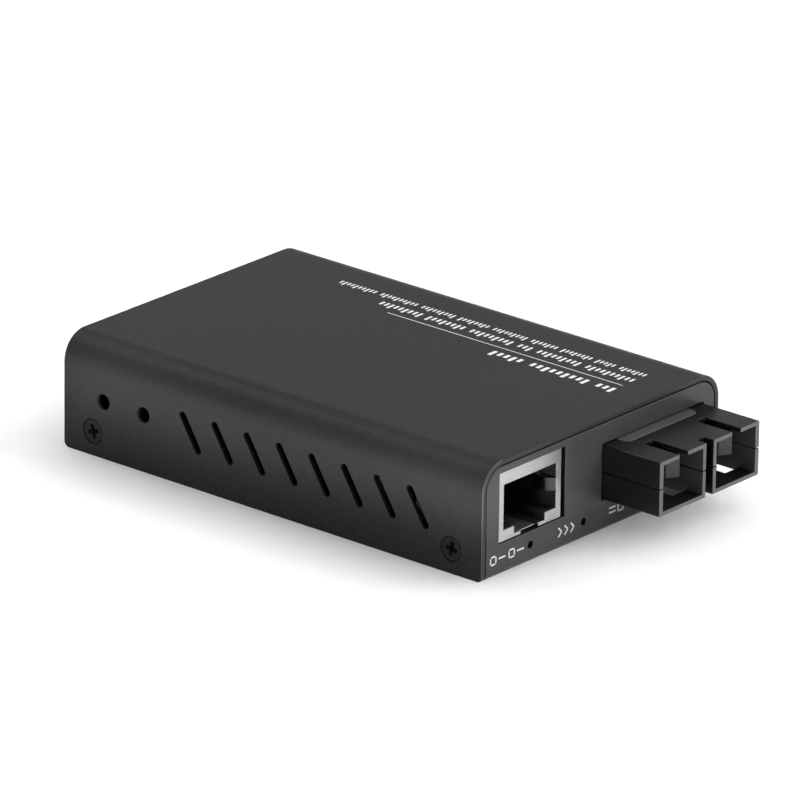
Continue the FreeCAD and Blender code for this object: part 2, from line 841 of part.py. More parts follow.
def make_jack_housing():
    """Moulded block in the shield: plug cavity, latch channel, spring pockets and contact comb."""
    gap = "(shield_sheet + insert_gap / 2)"
    low_y, high_y = f"jack_face + {gap}", f"jack_back - {gap}"
    block = box("housing_block", jack_span(f"jack_width / 2 - {gap}"), (low_y, high_y),
                ("board_top", f"jack_top - {gap}"))
    depth = (low_y, "plug_back")
    cavity = box("housing_cavity", jack_span("plug_width / 2"), depth, ("plug_bottom", "plug_top"))
    channel = box("housing_channel", jack_span("latch_width / 2"), depth,
                  ("board_top + latch_floor", "plug_bottom"))
    groove = box("housing_groove", jack_span("lip_cut_width / 2"), depth,
                 ("board_top", "board_top + latch_floor"))
    under = box("housing_under", jack_span("jack_width / 2"),
                (low_y, "jack_face + pan_setback + pan_depth + insert_gap"),
                ("board_top", f"board_top + {gap}"))
    level = "plug_bottom + finger_level"
    pockets = box("housing_pockets", jack_span("jack_width / 2"),
                  (low_y, "jack_face + finger_length + insert_gap"),
                  (f"{level} - finger_height - insert_gap", f"{level} + insert_gap"))
    contacts = box("housing_comb", jack_span("comb_half"), ("contact_tip - insert_gap", high_y),
                   ("plug_top", "plug_top + contact_width + insert_gap"))
    tail = box("housing_tail", jack_span("comb_half"), (f"{high_y} - contact_width - insert_gap", high_y),
               ("board_top", "plug_top + contact_width"))
    return cut("rj45_housing", block, [cavity, channel, groove, under, pockets, contacts, tail])


def make_jack_contacts():
    """Eight sprung wires: each slants down into the plug cavity and runs back and down to the board."""
    wire, high = "contact_width", "plug_top + contact_width"
    back = "jack_back - shield_sheet - insert_gap / 2"
    wires = []
    for index in range(int(number("contact_count"))):
        body = new_body(f"contact_{index + 1}")
        middle = f"jack_centre + contact_pitch * ({index} - (contact_count - 1) / 2)"
        strip = new_sketch(body, "YZ_Plane", f"{middle} - {wire} / 2")
        outline(strip, [
            (back, high),
            ("contact_tip", high),
            ("contact_tip + contact_run", f"{high} - contact_drop"),
            (f"contact_tip + contact_run + {wire}", f"{high} - contact_drop"),
            ("contact_tip + contact_shoulder", f"{high} - {wire}"),
            (f"{back} - {wire}", f"{high} - {wire}"),
            (f"{back} - {wire}", "board_top"),
            (back, "board_top"),
        ])
        pad(body, strip, wire)
        wires.append(body)
    return group("rj45_contacts", wires)


# ---------------------------------------------------------------- duplex fibre port


def ports():
    """Name and centre of each fibre port."""
    for hand in SIDES:
        yield ("left" if hand < 0 else "right"), f"(fibre_centre + {hand} * port_offset)"


def nose_half_body(name, base, floor, seam):
    """One moulded half of the nose, rounded outside and notched between the ports."""
    body = new_body(name)
    section = new_sketch(body, "XZ_Plane", "-nose_front")
    outer, rim, core = "nose_half", "(port_offset + cavity_half)", "(port_offset - cavity_half)"
    middle = "fibre_centre"
    outline(section, [
        (f"{middle} - {outer}", base),
        (f"{middle} + {outer}", base),
        (f"{middle} + {outer}", seam),
        (f"{middle} + {rim}", seam),
        (f"{middle} + {rim}", floor),
        (f"{middle} + {core}", floor),
        (f"{middle} + {core}", seam),
        (f"{middle} - {core}", seam),
        (f"{middle} - {core}", floor),
        (f"{middle} - {rim}", floor),
        (f"{middle} - {rim}", seam),
        (f"{middle} - {outer}", seam),
    ])
    pad(body, section, "nose_length + nose_inside", back=True)
    soften(body, "nose_corner", lambda edge: runs_along(edge, Y_AXIS) and is_nose_corner(edge, base))
    notch = new_sketch(body, "XZ_Plane", "-nose_front")
    rectangle(notch, (f"{middle} - nose_notch_width / 2", f"{middle} + nose_notch_width / 2"),
              ("board_top", "nose_top"))
    pocket(body, notch, "nose_notch_depth")
    return body


def is_nose_corner(edge, level):
    """Whether an edge is one of the nose's two outer long edges at a level."""
    middle = edge.CenterOfMass
    across = abs(abs(middle.x - number("fibre_centre")) - number("nose_half")) < NEAR
    return across and abs(middle.z - number(level)) < NEAR


def make_nose_lower():
    """Lower half of the nose, with two floor windows under each port's hooks."""
    body = nose_half_body("sc_lower_housing", "board_top", "cavity_low", "optic_level - seam_gap / 2")
    windows = new_sketch(body, "XY_Plane", "cavity_low")
    span = ("nose_front + window_inset", "nose_front + window_inset + window_length")
    for _, centre in ports():
        for hand in SIDES:
            wall, inside = f"{hand} * cavity_half", f"{hand} * (cavity_half - window_width)"
            edges = (f"{centre} + {wall}", f"{centre} + {inside}")
            rectangle(windows, edges if hand < 0 else edges[::-1], span)
    pocket(body, windows, "cavity_wall")
    return body


def make_nose_upper():
    """Upper half of the nose, with a keyway over each port and a shallow seat for the strip."""
    body = nose_half_body("sc_upper_housing", "nose_top", "cavity_high", "optic_level + seam_gap / 2")
    keyways = new_sketch(body, "XY_Plane", "nose_top")
    reach = "nose_front + keyway_length"
    for _, centre in ports():
        low, high = f"{centre} - keyway_width / 2", f"{centre} + keyway_width / 2"
        outline(keyways, [
            (low, "nose_front"),
            (high, "nose_front"),
            (high, f"{reach} - nose_corner"),
            (f"{high} - nose_corner", reach, "nose_corner"),
            (f"{low} + nose_corner", reach),
            (low, f"{reach} - nose_corner", "nose_corner"),
        ])
    pocket(body, keyways, "cavity_wall")
    seat_sketch = new_sketch(body, "XY_Plane", "nose_top")
    strip_outline(seat_sketch, "thread_gap")
    pocket(body, seat_sketch, "strip_thickness")
    return body


def strip_outline(sketch, gap):
    """Plan view of the grey strip, round at its two front corners, widened by a gap."""
    low, high = (f"fibre_centre - strip_half - {gap}", f"fibre_centre + strip_half + {gap}")
    front = f"strip_front - {gap}"
    return outline(sketch, [
        (f"{high} - strip_corner", front),
        (high, f"{front} + strip_corner", "strip_corner"),
        (high, f"strip_rear + {gap}"),
        (low, f"strip_rear + {gap}"),
        (low, f"{front} + strip_corner"),
        (f"{low} + strip_corner", front, "strip_corner"),
    ])


def make_nose_strip():
    """Thin conductive strip let into the nose's top where it passes through the panel."""
    body = new_body("shield_strip")
    plan = new_sketch(body, "XY_Plane", "strip_low")
    strip_outline(plan, "0")
    pad(body, plan, "strip_thickness")
    return body


def make_latch_insert(side, centre):
    """Insert of one port: rear flange, sleeve holder and the two hooks that catch the plug."""
    body = new_body(f"sc_latch_insert_{side}")
    flange = new_sketch(body, "XZ_Plane", "-nose_rear")
    rectangle(flange, (f"{centre} - insert_half", f"{centre} + insert_half"),
              ("cavity_low + insert_gap", "cavity_high - insert_gap"))
    pad(body, flange, "insert_flange")
    holder = new_sketch(body, "XZ_Plane", "-nose_rear")
    circle(holder, centre, "optic_level", "holder_diameter")
    pad(body, holder, "nose_rear - holder_front")
    for hand in SIDES:
        arm = new_sketch(body, "XY_Plane", "optic_level")
        outer = f"{centre} + {hand} * arm_outer"
        inner = f"{centre} + {hand} * (arm_outer - arm_thickness)"
        nib = f"{centre} + {hand} * hook_reach"
        steps = [
            (outer, "nose_rear"),
            (outer, "hook_tip"),
            (nib, "hook_tip + hook_lead"),
            (nib, "hook_tip + hook_lead + hook_land"),
            (inner, "hook_tip + hook_lead + hook_land + arm_thickness / 2"),
            (inner, "nose_rear"),
        ]
        outline(arm, steps if hand < 0 else steps[::-1])
        pad(body, arm, "arm_height", both=True)
    bore = new_sketch(body, "XZ_Plane", "-holder_front")
    circle(bore, centre, "optic_level", "sleeve_diameter + thread_gap")
    pocket(body, bore, "nose_rear - holder_front")
    return body


def make_sleeve(side, centre):
    """Ceramic sleeve that a plug's ferrule slides into."""
    start, length = (centre, "sleeve_front", "optic_level"), "sleeve_end - sleeve_front"
    outer = rod(f"sleeve_outer_{side}", "y", start, "sleeve_diameter", length)
    bore = rod(f"sleeve_bore_{side}", "y", start, "sleeve_bore", length)
    return cut(f"ferrule_sleeve_{side}", outer, [bore])


# ---------------------------------------------------------------- transceiver module


def make_module_cover():
    """Cover of the module: open underneath and in front, where it laps over the nose."""
    outer = box("module_outer", ("fibre_centre - module_half", "fibre_centre + module_half"),
                ("module_front", "module_rear"), ("board_top", "module_top"))
    inner_half = "(module_half - module_wall)"
    inner = box("module_inner", (f"fibre_centre - {inner_half}", f"fibre_centre + {inner_half}"),
                ("module_front", "module_rear - module_wall"), ("board_top", "module_top - module_wall"))
    return cut("transceiver_cover", outer, [inner])


def make_module_board():
    """Small board inside the module that carries its pins."""
    half = "(module_half - module_wall - insert_gap)"
    return box("transceiver_board", (f"fibre_centre - {half}", f"fibre_centre + {half}"),
               ("module_board_rear - module_board_depth", "module_board_rear"),
               ("module_board_low", "module_board_low + module_board_thickness"))


def post(name, x, y, low, high):
    """Upright square pin between two levels."""
    half = "pin_side / 2"
    return box(name, (f"{x} - {half}", f"{x} + {half}"), (f"{y} - {half}", f"{y} + {half}"), (low, high))


def make_module_pins():
    """Row of straight square pins from the module's board through the main board."""
    pins = []
    for index in range(int(number("pin_count"))):
        x = f"fibre_centre + pin_pitch * ({index} - (pin_count - 1) / 2)"
        pins.append(post(f"pin_{index + 1}", x, "pin_row", "board_bottom - pin_tail", "module_board_low"))
    return group("transceiver_pins", pins)


def make_barrel(name, centre):
    """Turned optical barrel behind one port: nose against the insert, leads on the small board."""
    nose = rod(f"{name}_nose", "y", (centre, "nose_rear", "optic_level"),
               "barrel_nose_diameter", "barrel_nose_length")
    can = rod(f"{name}_can", "y", (centre, "nose_rear + barrel_nose_length", "optic_level"),
              "barrel_diameter", "barrel_length")
    leads = []
    rest = "module_board_low + module_board_thickness"
    for hand in SIDES:
        x = f"{centre} + {hand} * pin_pitch / 2"
        lead = f"{name}_lead_{'left' if hand < 0 else 'right'}"
        leads.append(box(lead, (f"{x} - pin_side / 2", f"{x} + pin_side / 2"),
                         ("barrel_back", "module_board_rear - module_board_depth + 2 * pin_pitch"),
                         (rest, f"{rest} + pin_side")))
    return fuse(name, [nose, can] + leads)


# ---------------------------------------------------------------- status lights and power inlet


def make_lights():
    """Side-view lamps hung under the board's front edge, one behind each hole of the panel."""
    for index in range(int(number("light_count"))):
        middle = f"light_first + light_pitch * {index}"
        box(f"status_light_{index + 1}", (f"{middle} - light_width / 2", f"{middle} + light_width / 2"),
            ("board_front", "board_front + light_body_depth"),
            ("board_bottom - light_body_height", "board_bottom"))


def make_inlet_housing():
    """Moulded power socket with round shoulders and a deep round bore."""
    body = new_body("power_inlet_housing")
    face = new_sketch(body, "XZ_Plane", "-inlet_face")
    inlet_outline(face, "0")
    pad(body, face, "inlet_depth")
    bore = new_sketch(body, "XZ_Plane", "-inlet_face")
    circle(bore, "inlet_centre", "inlet_level", "inlet_bore")
    pocket(body, bore, "inlet_bore_depth", back=True)
    slot = new_sketch(body, "XZ_Plane", "-inlet_face")
    half = "(inlet_leaf_width / 2 + insert_gap)"
    rectangle(slot, (f"inlet_centre - {half}", f"inlet_centre + {half}"),
              ("inlet_level - inlet_bore / 2 - inlet_leaf_sheet - insert_gap", "inlet_level"))
    pocket(body, slot, "inlet_bore_depth", back=True)
    return body


def make_inlet_pin():
    """Centre pin of the power socket."""
    return rod("power_inlet_pin", "y", ("inlet_centre", "inlet_bore_end", "inlet_level"),
               "inlet_pin_diameter", "inlet_pin_length")


def make_inlet_leaf():
    """Leaf contact along the foot of the power socket's bore."""
    low = "inlet_level - inlet_bore / 2 - inlet_leaf_sheet"
    half = "inlet_leaf_width / 2"
    return box("power_inlet_contact", (f"inlet_centre - {half}", f"inlet_centre + {half}"),
               ("inlet_bore_end", "inlet_face - inlet_leaf_setback"), (low, f"{low} + inlet_leaf_sheet"))


# ---------------------------------------------------------------- parts on the board


def chip(name, x, y, width, depth, height):
    """Plain package centred on a place of the board's top."""
    across, along = f"({width}) / 2", f"({depth}) / 2"
    return box(name, (f"{x} - {across}", f"{x} + {across}"), (f"{y} - {along}", f"{y} + {along}"),
               ("board_top", f"board_top + {height}"))


def make_capacitor(index):
    """Electrolytic can on its square base."""
    y = f"can_y + can_pitch * {index - 1}"
    base = chip(f"capacitor_base_{index}", "can_x", y, "can_base_side", "can_base_side", "can_base")
    can = rod(f"capacitor_can_{index}", "z", ("can_x", y, "board_top + can_base"),
              "can_diameter", "can_height")
    return base, can


def make_crystal():
    """Oscillator crystal in a round-ended metal can."""
    body = new_body("crystal")
    plan = new_sketch(body, "XY_Plane", "board_top")
    half = "(crystal_length - crystal_width) / 2"
    leaning_slot(plan, (f"crystal_x - {half}", "crystal_y"), (f"crystal_x + {half}", "crystal_y"),
                 "crystal_width")
    pad(body, plan, "crystal_height")
    return body


def make_coil():
    """Shielded power coil: square base with a round core standing on it."""
    block = chip("coil_block", "coil_x", "coil_y", "coil_side", "coil_side", "coil_height - coil_crown")
    core = rod("coil_core", "z", ("coil_x", "coil_y", "board_top + coil_height - coil_crown"),
               "coil_core_diameter", "coil_crown")
    return fuse("power_coil", [block, core])


def make_board_parts():
    """Chips, transformer, coil, capacitors, crystal and regulator."""
    chip("switch_chip", "switch_x", "switch_y", "switch_side", "switch_side", "switch_height")
    chip("line_transformer", "jack_centre", "transformer_y", "transformer_width", "transformer_depth",
         "transformer_height")
    chip("regulator", "regulator_x", "regulator_y", "regulator_width", "regulator_depth",
         "regulator_height")
    make_coil()
    make_capacitor(1)
    make_capacitor(2)
    make_crystal()


# ---------------------------------------------------------------- the whole converter

NODES = [
    "top_cover", "base_tray", "cover_screws", "board_standoffs", "board_screws", "main_board",
    "rj45_shield", "rj45_housing", "rj45_contacts",
    "sc_lower_housing", "sc_upper_housing", "shield_strip",
    "sc_latch_insert_left", "sc_latch_insert_right", "ferrule_sleeve_left", "ferrule_sleeve_right",
    "transceiver_cover", "transceiver_board", "transceiver_pins", "light_sender", "light_receiver",
    "status_light_1", "status_light_2", "status_light_3", "status_light_4",
    "power_inlet_housing", "power_inlet_pin", "power_inlet_contact",
    "switch_chip", "line_transformer", "power_coil", "regulator", "crystal",
    "capacitor_can_1", "capacitor_can_2", "capacitor_base_1", "capacitor_base_2",
]


def build():
    """Make every sub-part of the document."""
    fill_sheet()
    make_top_cover()
    make_base_tray()
    make_cover_screws()
    make_board_standoffs()
    make_board_screws()
    make_main_board()
    make_jack_shield()
    make_jack_housing()
    make_jack_contacts()
    make_nose_lower()
    make_nose_upper()
    make_nose_strip()
    for side, centre in ports():
        make_latch_insert(side, centre)
        make_sleeve(side, centre)
        make_barrel("light_sender" if side == "left" else "light_receiver", centre)
    make_module_cover()
    make_module_board()
    make_module_pins()
    make_lights()
    make_inlet_housing()
    make_inlet_pin()
    make_inlet_leaf()
    make_board_parts()
    document.recompute()


def check():
    """Stop on any failed feature and on any sub-part without a sound shape."""
    for item in document.Objects:
        if "Invalid" in item.State or "Error" in item.State:
            raise RuntimeError(f"{item.Name} failed: {item.State}")
    for node in NODES:
        shape = find(node).Shape
        if shape.isNull() or not shape.isValid() or not shape.Solids:
            raise RuntimeError(f"{node} has no sound shape")


def find(node):
    """The document object that carries a node's label."""
    return document.getObjectsByLabel(node)[0]


def write():
    """Write each sub-part to its own file."""
    os.makedirs("parts", exist_ok=True)
    for node in NODES:
        find(node).Shape.exportStep(f"parts/{node}.step")


build()
check()
write()
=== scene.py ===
"""Dressed model of a compact fibre media converter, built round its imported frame.

The frame gives every place: +X is right as seen from the ports, -Y is out of the ports and +Z
is up. Each class below takes the corners of the frame's own pieces, shapes what the frame draws
plainly and gives every surface its finish. Sizes held in fields are millimetres; meshes are
metres.
"""
import logging
import math
from collections.abc import Callable, Iterator
from contextlib import contextmanager
from dataclasses import dataclass, field
from enum import Enum

import bmesh
import bpy
from bpy.types import Material, Node, NodeTree, Object
from mathutils import Matrix, Vector


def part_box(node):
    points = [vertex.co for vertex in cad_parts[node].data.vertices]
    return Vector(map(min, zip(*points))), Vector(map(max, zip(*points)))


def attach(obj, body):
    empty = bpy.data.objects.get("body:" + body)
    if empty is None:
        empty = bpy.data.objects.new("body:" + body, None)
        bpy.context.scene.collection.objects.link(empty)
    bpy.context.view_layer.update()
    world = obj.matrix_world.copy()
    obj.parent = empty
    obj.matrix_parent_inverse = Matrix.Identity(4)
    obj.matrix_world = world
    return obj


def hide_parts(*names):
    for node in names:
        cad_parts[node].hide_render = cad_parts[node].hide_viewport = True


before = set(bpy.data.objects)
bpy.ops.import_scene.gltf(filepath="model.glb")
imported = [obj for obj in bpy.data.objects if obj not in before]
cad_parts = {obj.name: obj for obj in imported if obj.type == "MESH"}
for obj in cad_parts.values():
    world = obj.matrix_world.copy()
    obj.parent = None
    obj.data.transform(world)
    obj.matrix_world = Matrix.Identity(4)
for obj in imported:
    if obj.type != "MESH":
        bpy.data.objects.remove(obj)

log = logging.getLogger("media_converter")

Triple = tuple[float, float, float]
FaceTest = Callable[[Vector, Vector], bool]

MM = 0.001
BODY = "root"
# Settings of the mesh tools: lengths in millimetres, angles in degrees.
WELD_WITHIN = 0.002
FLAT_WITHIN = 1.0
SHARP_FROM = 30.0
SMOOTH_BELOW = 50.0
BEVEL_STRIPS = 2
NORMAL_WEIGHT = 80
# Share of a normal along an axis: a face that looks along it, and one squarely on it.
FACING = 0.9
SQUARE_ON = 0.97
# Noise settings of all finishes; the last two bound most of a patch's noise.
GRAIN_DETAIL = 3.0
GRAIN_ROUGHNESS = 0.6
PATCH_DETAIL = 2.0
PATCH_LOW, PATCH_HIGH = 0.3, 0.7


class Side(Enum):
    """The two hands of the case as seen from the ports."""

    LEFT = -1
    RIGHT = 1


class Pick(Enum):
    """What an edit works on."""

    VERTICES = "VERT"
    FACES = "FACE"


# ---------------------------------------------------------------- working on meshes


def make_active(piece: Object) -> None:
    """Leave one object selected and active, and nothing else.

    Args:
        piece: the object to leave selected.
    """
    bpy.ops.object.select_all(action="DESELECT")
    piece.select_set(True)
    bpy.context.view_layer.objects.active = piece


@contextmanager
def editing(piece: Object, pick: Pick = Pick.FACES) -> Iterator[None]:
    """Edit one piece with nothing selected at the start.

    Args:
        piece: the piece to edit.
        pick: the kind of element that selections work on.
    """
    make_active(piece)
    bpy.ops.object.mode_set(mode="EDIT")
    bpy.ops.mesh.select_mode(type=pick.value)
    bpy.ops.mesh.select_all(action="DESELECT")
    yield
    bpy.ops.object.mode_set(mode="OBJECT")


def pick_faces(piece: Object, test: FaceTest) -> None:
    """Select the faces that pass a test while a piece is edited.

    Args:
        piece: the piece being edited.
        test: takes a face's centre and normal.
    """
    mesh = bmesh.from_edit_mesh(piece.data)
    for face in mesh.faces:
        face.select_set(test(face.calc_center_median(), face.normal))
    bmesh.update_edit_mesh(piece.data)


def settle(piece: Object, name: str) -> Object:
    """Name a piece and put its place into its mesh.

    Args:
        piece: the piece where it was made.
        name: its name from here on.

    Returns:
        The same piece, at the origin, unturned and unscaled.
    """
    piece.name = name
    piece.data.name = name
    make_active(piece)
    bpy.ops.object.transform_apply(location=True, rotation=True, scale=True)
    return piece


def add_block(name: str, low: Vector, high: Vector) -> Object:
    """Cuboid between two corners.

    Args:
        name: the block's name.
        low: its low corner, in metres.
        high: its high corner, in metres.

    Returns:
        The block.
    """
    bpy.ops.object.select_all(action="DESELECT")
    bpy.ops.mesh.primitive_cube_add(size=1, location=(low + high) / 2)
    piece = bpy.context.object
    piece.scale = high - low
    return settle(piece, name)


def apply_modifier(piece: Object, kind: str, **settings: object) -> None:
    """Add one modifier with its settings and apply it.

    Args:
        piece: the piece that it changes.
        kind: the modifier's type name.
        settings: the modifier's own properties.
    """
    modifier = piece.modifiers.new(kind.lower(), kind)
    for name, value in settings.items():
        setattr(modifier, name, value)
    make_active(piece)
    bpy.ops.object.modifier_apply(modifier=modifier.name)


def cut_away(piece: Object, cutter: Object) -> None:
    """Take one closed mesh away from another and delete the cutter."""
    apply_modifier(piece, "BOOLEAN", operation="DIFFERENCE", object=cutter, solver="EXACT")
    bpy.data.objects.remove(cutter)


def ease_edges(piece: Object, width: float, sharpest: float = SHARP_FROM) -> None:
    """Round every edge sharper than an angle, and shade flats flat and rounds round.

    Args:
        piece: the piece to ease.
        width: how far each rounding reaches, in millimetres.
        sharpest: edges flatter than this many degrees stay as they are.
    """
    apply_modifier(
        piece, "BEVEL", width=width * MM, segments=BEVEL_STRIPS, limit_method="ANGLE",
        angle_limit=math.radians(sharpest), use_clamp_overlap=False,
    )
    make_active(piece)
    bpy.ops.object.shade_smooth_by_angle(angle=math.radians(SMOOTH_BELOW))
    apply_modifier(piece, "WEIGHTED_NORMAL", keep_sharp=True, weight=NORMAL_WEIGHT)


def moved_copy(piece: Object, name: str, matrix: Matrix) -> Object:
    """Copy a piece with its own mesh, placed by a matrix.

    Args:
        piece: the piece to copy.
        name: the copy's name.
        matrix: a turn and a move from the piece to the copy.

    Returns:
        The copy.
    """
    twin = bpy.data.objects.new(name, piece.data.copy())
    twin.data.name = name
    twin.data.transform(matrix)
    bpy.context.scene.collection.objects.link(twin)
    return twin


def from_frame(node: str, name: str) -> Object:
    """Merged copy of one of the frame's pieces, ready to be shaped further.

    Args:
        node: the frame's piece.
        name: the new piece's name.

    Returns:
        The copy, with its flat faces whole and its points joined.
    """
    piece = bpy.data.objects.new(name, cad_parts[node].data.copy())
    piece.data.name = name
    piece.data.materials.clear()
    bpy.context.scene.collection.objects.link(piece)
    make_active(piece)
    bpy.ops.mesh.customdata_custom_splitnormals_clear()
    with editing(piece, Pick.VERTICES):
        bpy.ops.mesh.select_all(action="SELECT")
        bpy.ops.mesh.remove_doubles(threshold=WELD_WITHIN * MM)
        bpy.ops.mesh.dissolve_limited(angle_limit=math.radians(FLAT_WITHIN))
    return piece


def join_all(name: str, pieces: list[Object]) -> Object:
    """Join separate pieces into one object.

    Args:
        name: the joined piece's name.
        pieces: what it is joined from.

    Returns:
        The joined piece.
    """
    make_active(pieces[0])
    for piece in pieces:
        piece.select_set(True)
    bpy.ops.object.join()
    return settle(bpy.context.object, name)


def dress(piece: Object, finish: "Finish",
          stands_for: tuple[str, ...] = ()) -> None:
    """Give a new piece its finish, its body and what it stands for.

    Args:
        piece: a finished mesh.
        finish: the surface all over it.
        stands_for: the frame's pieces that it replaces.
    """
    piece.data.materials.clear()
    piece.data.materials.append(finish.material())
    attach(piece, BODY)
    if stands_for:
        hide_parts(*stands_for)
    log.info("%s: %d faces", piece.name, len(piece.data.polygons))


def paint_faces(piece: Object, finish: "Finish", test: FaceTest) -> None:
    """Give the faces that pass a test a finish of their own.

    Args:
        piece: a dressed piece.
        finish: the surface of those faces.
        test: takes a face's centre and normal.
    """
    piece.data.materials.append(finish.material())
    last = len(piece.data.materials) - 1
    for face in piece.data.polygons:
        if test(face.center, face.normal):
            face.material_index = last


def dress_frame(finish: "Finish", *nodes: str) -> None:
    """Give pieces of the frame that stay as they are their finish.

    Args:
        finish: the surface all over them.
        nodes: the frame's pieces.
    """
    for node in nodes:
        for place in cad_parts[node].material_slots:
            place.material = finish.material()
        log.info("%s keeps its shape", node)


# ---------------------------------------------------------------- finishes


def linear(colour: str) -> tuple[float, float, float, float]:
    """Linear RGBA of an sRGB hex colour.

    Args:
        colour: a hash sign and six hex digits.

    Returns:
        Red, green and blue as the shaders take them, and full opacity.
    """
    channels = [int(colour[start:start + 2], 16) / 255 for start in (1, 3, 5)]
    straight = [c / 12.92 if c <= 0.04045 else ((c + 0.055) / 1.055) ** 2.4 for c in channels]
    return (straight[0], straight[1], straight[2], 1.0)


def add_node(tree: NodeTree, kind: str, inputs: dict[str, object] | None = None,
             **settings: object) -> Node:
    """Add one node with its settings, its values and its incoming links.

    Args:
        tree: the tree to add to.
        kind: the node's type name.
        inputs: socket name or number to a value, or to another node's output socket.
        settings: the node's own properties.

    Returns:
        The node.
    """
    node = tree.nodes.new(kind)
    for name, value in settings.items():
        setattr(node, name, value)
    for name, value in (inputs or {}).items():
        socket = node.inputs[int(name)] if name.isdigit() else node.inputs[name]
        if isinstance(value, bpy.types.NodeSocket):
            tree.links.new(value, socket)
        else:
            socket.default_value = value
    return node


@dataclass(frozen=True)
class Finish:
    """Surface of one real material. Pattern sizes are millimetres.

    Attributes:
        name: the material's name.
        colour: its lighter colour, as sRGB hex.
        shade: its darker colour, as sRGB hex.
        roughness: its middle roughness.
        metallic: 1 for bare metal.
        ior: how strongly it bends light.
        grain: width of one grain.
        relief: height of one grain.
        stretch: how far a grain is drawn out along each axis.
        contrast: width of the step between the two colours; a smaller one is sharper.
        patch: width of one slow patch.
        roughness_spread: how far the roughness swings from patch to patch.
        specular: strength of its plain reflection.
        glow_depth: how far light spreads inside it.
        backlight: how strongly it is lit from behind.
    """

    name: str
    colour: str
    shade: str
    roughness: float
    metallic: float = 0.0
    ior: float = 1.5
    grain: float = 0.3
    relief: float = 0.01
    stretch: Triple = (1.0, 1.0, 1.0)
    contrast: float = 0.5
    patch: float = 14.0
    roughness_spread: float = 0.06
    specular: float = 0.5
    glow_depth: float = 0.0
    backlight: float = 0.0

    def material(self) -> Material:
        """Find the material of this name, or make it on first use.

        Returns:
            The material.
        """
        known = bpy.data.materials.get(self.name)
        if known:
            return known
        made = bpy.data.materials.new(self.name)
        made.use_nodes = True
        made.diffuse_color = linear(self.colour)
        tree = made.node_tree
        tree.nodes.clear()
        self.wire(tree)
        return made

    def grain_texture(self, tree: NodeTree) -> Node:
        """Fine grain, drawn out along an axis where the surface was brushed or rolled.

        Args:
            tree: the material's tree.

        Returns:
            The noise node.
        """
        place = add_node(tree, "ShaderNodeTexCoord").outputs["Object"]
        size = tuple(1 / (self.grain * MM * along) for along in self.stretch)
        mapping = add_node(tree, "ShaderNodeMapping", {"Vector": place, "Scale": size})
        return add_node(tree, "ShaderNodeTexNoise", {
            "Vector": mapping.outputs[0], "Scale": 1.0, "Detail": GRAIN_DETAIL,
            "Roughness": GRAIN_ROUGHNESS,
        })

    def patch_texture(self, tree: NodeTree) -> Node:
        """Slow unevenness over the whole piece, as from handling and spraying."""
        place = add_node(tree, "ShaderNodeTexCoord").outputs["Object"]
        return add_node(tree, "ShaderNodeTexNoise", {
            "Vector": place, "Scale": 1 / (self.patch * MM), "Detail": PATCH_DETAIL,
        })

    def inside(self) -> dict[str, object]:
        """Look up what the shader needs where light spreads inside the material.

        Returns:
            Shader values by socket name; none for all other materials.
        """
        if not self.glow_depth:
            return {}
        return {
            "Subsurface Weight": 1.0, "Subsurface Radius": (1.0, 1.0, 1.0),
            "Subsurface Scale": self.glow_depth * MM,
            "Emission Color": linear("#ffffff"), "Emission Strength": self.backlight,
        }

    def wire(self, tree: NodeTree) -> None:
        """Build the shader: grain and patches drive colour and roughness, grain drives relief.

        Args:
            tree: the material's empty tree.
        """
        grain = self.grain_texture(tree).outputs[0]
        patch = self.patch_texture(tree).outputs[0]
        both = add_node(tree, "ShaderNodeMath", {"0": grain, "1": patch}, operation="ADD")
        spread = self.contrast / 2
        share = add_node(tree, "ShaderNodeMapRange", {
            "Value": both.outputs[0], "From Min": 1 - spread, "From Max": 1 + spread,
        })
        # A Mix node's colour sockets are numbers 6 and 7, and its colour comes out of number 2.
        blend = add_node(tree, "ShaderNodeMix", {
            "0": share.outputs[0], "6": linear(self.shade), "7": linear(self.colour),
        }, data_type="RGBA")
        rough = add_node(tree, "ShaderNodeMapRange", {
            "Value": patch, "From Min": PATCH_LOW, "From Max": PATCH_HIGH,
            "To Min": self.roughness - self.roughness_spread,
            "To Max": self.roughness + self.roughness_spread,
        })
        bump = add_node(tree, "ShaderNodeBump", {
            "Height": grain, "Distance": self.relief * MM, "Strength": 1.0,
        })
        shader = add_node(tree, "ShaderNodeBsdfPrincipled", {
            "Base Color": blend.outputs[2], "Roughness": rough.outputs[0],
            "Normal": bump.outputs[0], "Metallic": self.metallic, "IOR": self.ior,
            "Specular IOR Level": self.specular, **self.inside(),
        }, subsurface_method="BURLEY")
        add_node(tree, "ShaderNodeOutputMaterial", {"Surface": shader.outputs[0]})


# Polyester powder coat, sprayed and baked: a satin skin with a fine even grain.
COVER_COAT = Finish("powder_coat_cover", "#262626", "#1e1e1e", 0.34, grain=0.32, relief=0.075,
                    contrast=0.4, patch=45.0, roughness_spread=0.02, specular=0.12)
# The same powder on the sheet's front-facing cut ends, painted paler than the coat: painted light,
# so the cut end looks lit.
CUT_END_PAINTED_LIGHT = Finish("powder_coat_cut_end", "#363637", "#313132", 0.4, grain=0.3, relief=0.01,
                 specular=0.2)
# The tray's powder, a little paler and smoother than the cover's.
PANEL_COAT = Finish("powder_coat_panel", "#444445", "#3e3e3f", 0.36, grain=0.34, relief=0.012,
                    contrast=0.8, specular=0.26)
# A painted highlight on the cut ends' outer rim: a pale band that stands for light caught on the
# rounding.
RIM_PAINTED_HIGHLIGHT = Finish("powder_coat_worn_rim", "#4e4e4e", "#464646", 0.4, grain=0.3, relief=0.01,
                   specular=0.3)
# Painted shade inside punched slots, openings and screw recesses: near-black where light hardly
# reaches.
PAINTED_SHADE_EDGE = Finish("punched_edge_painted_shade", "#0d0d0e", "#090909", 0.6, grain=0.2, relief=0.006,
                      specular=0.1)
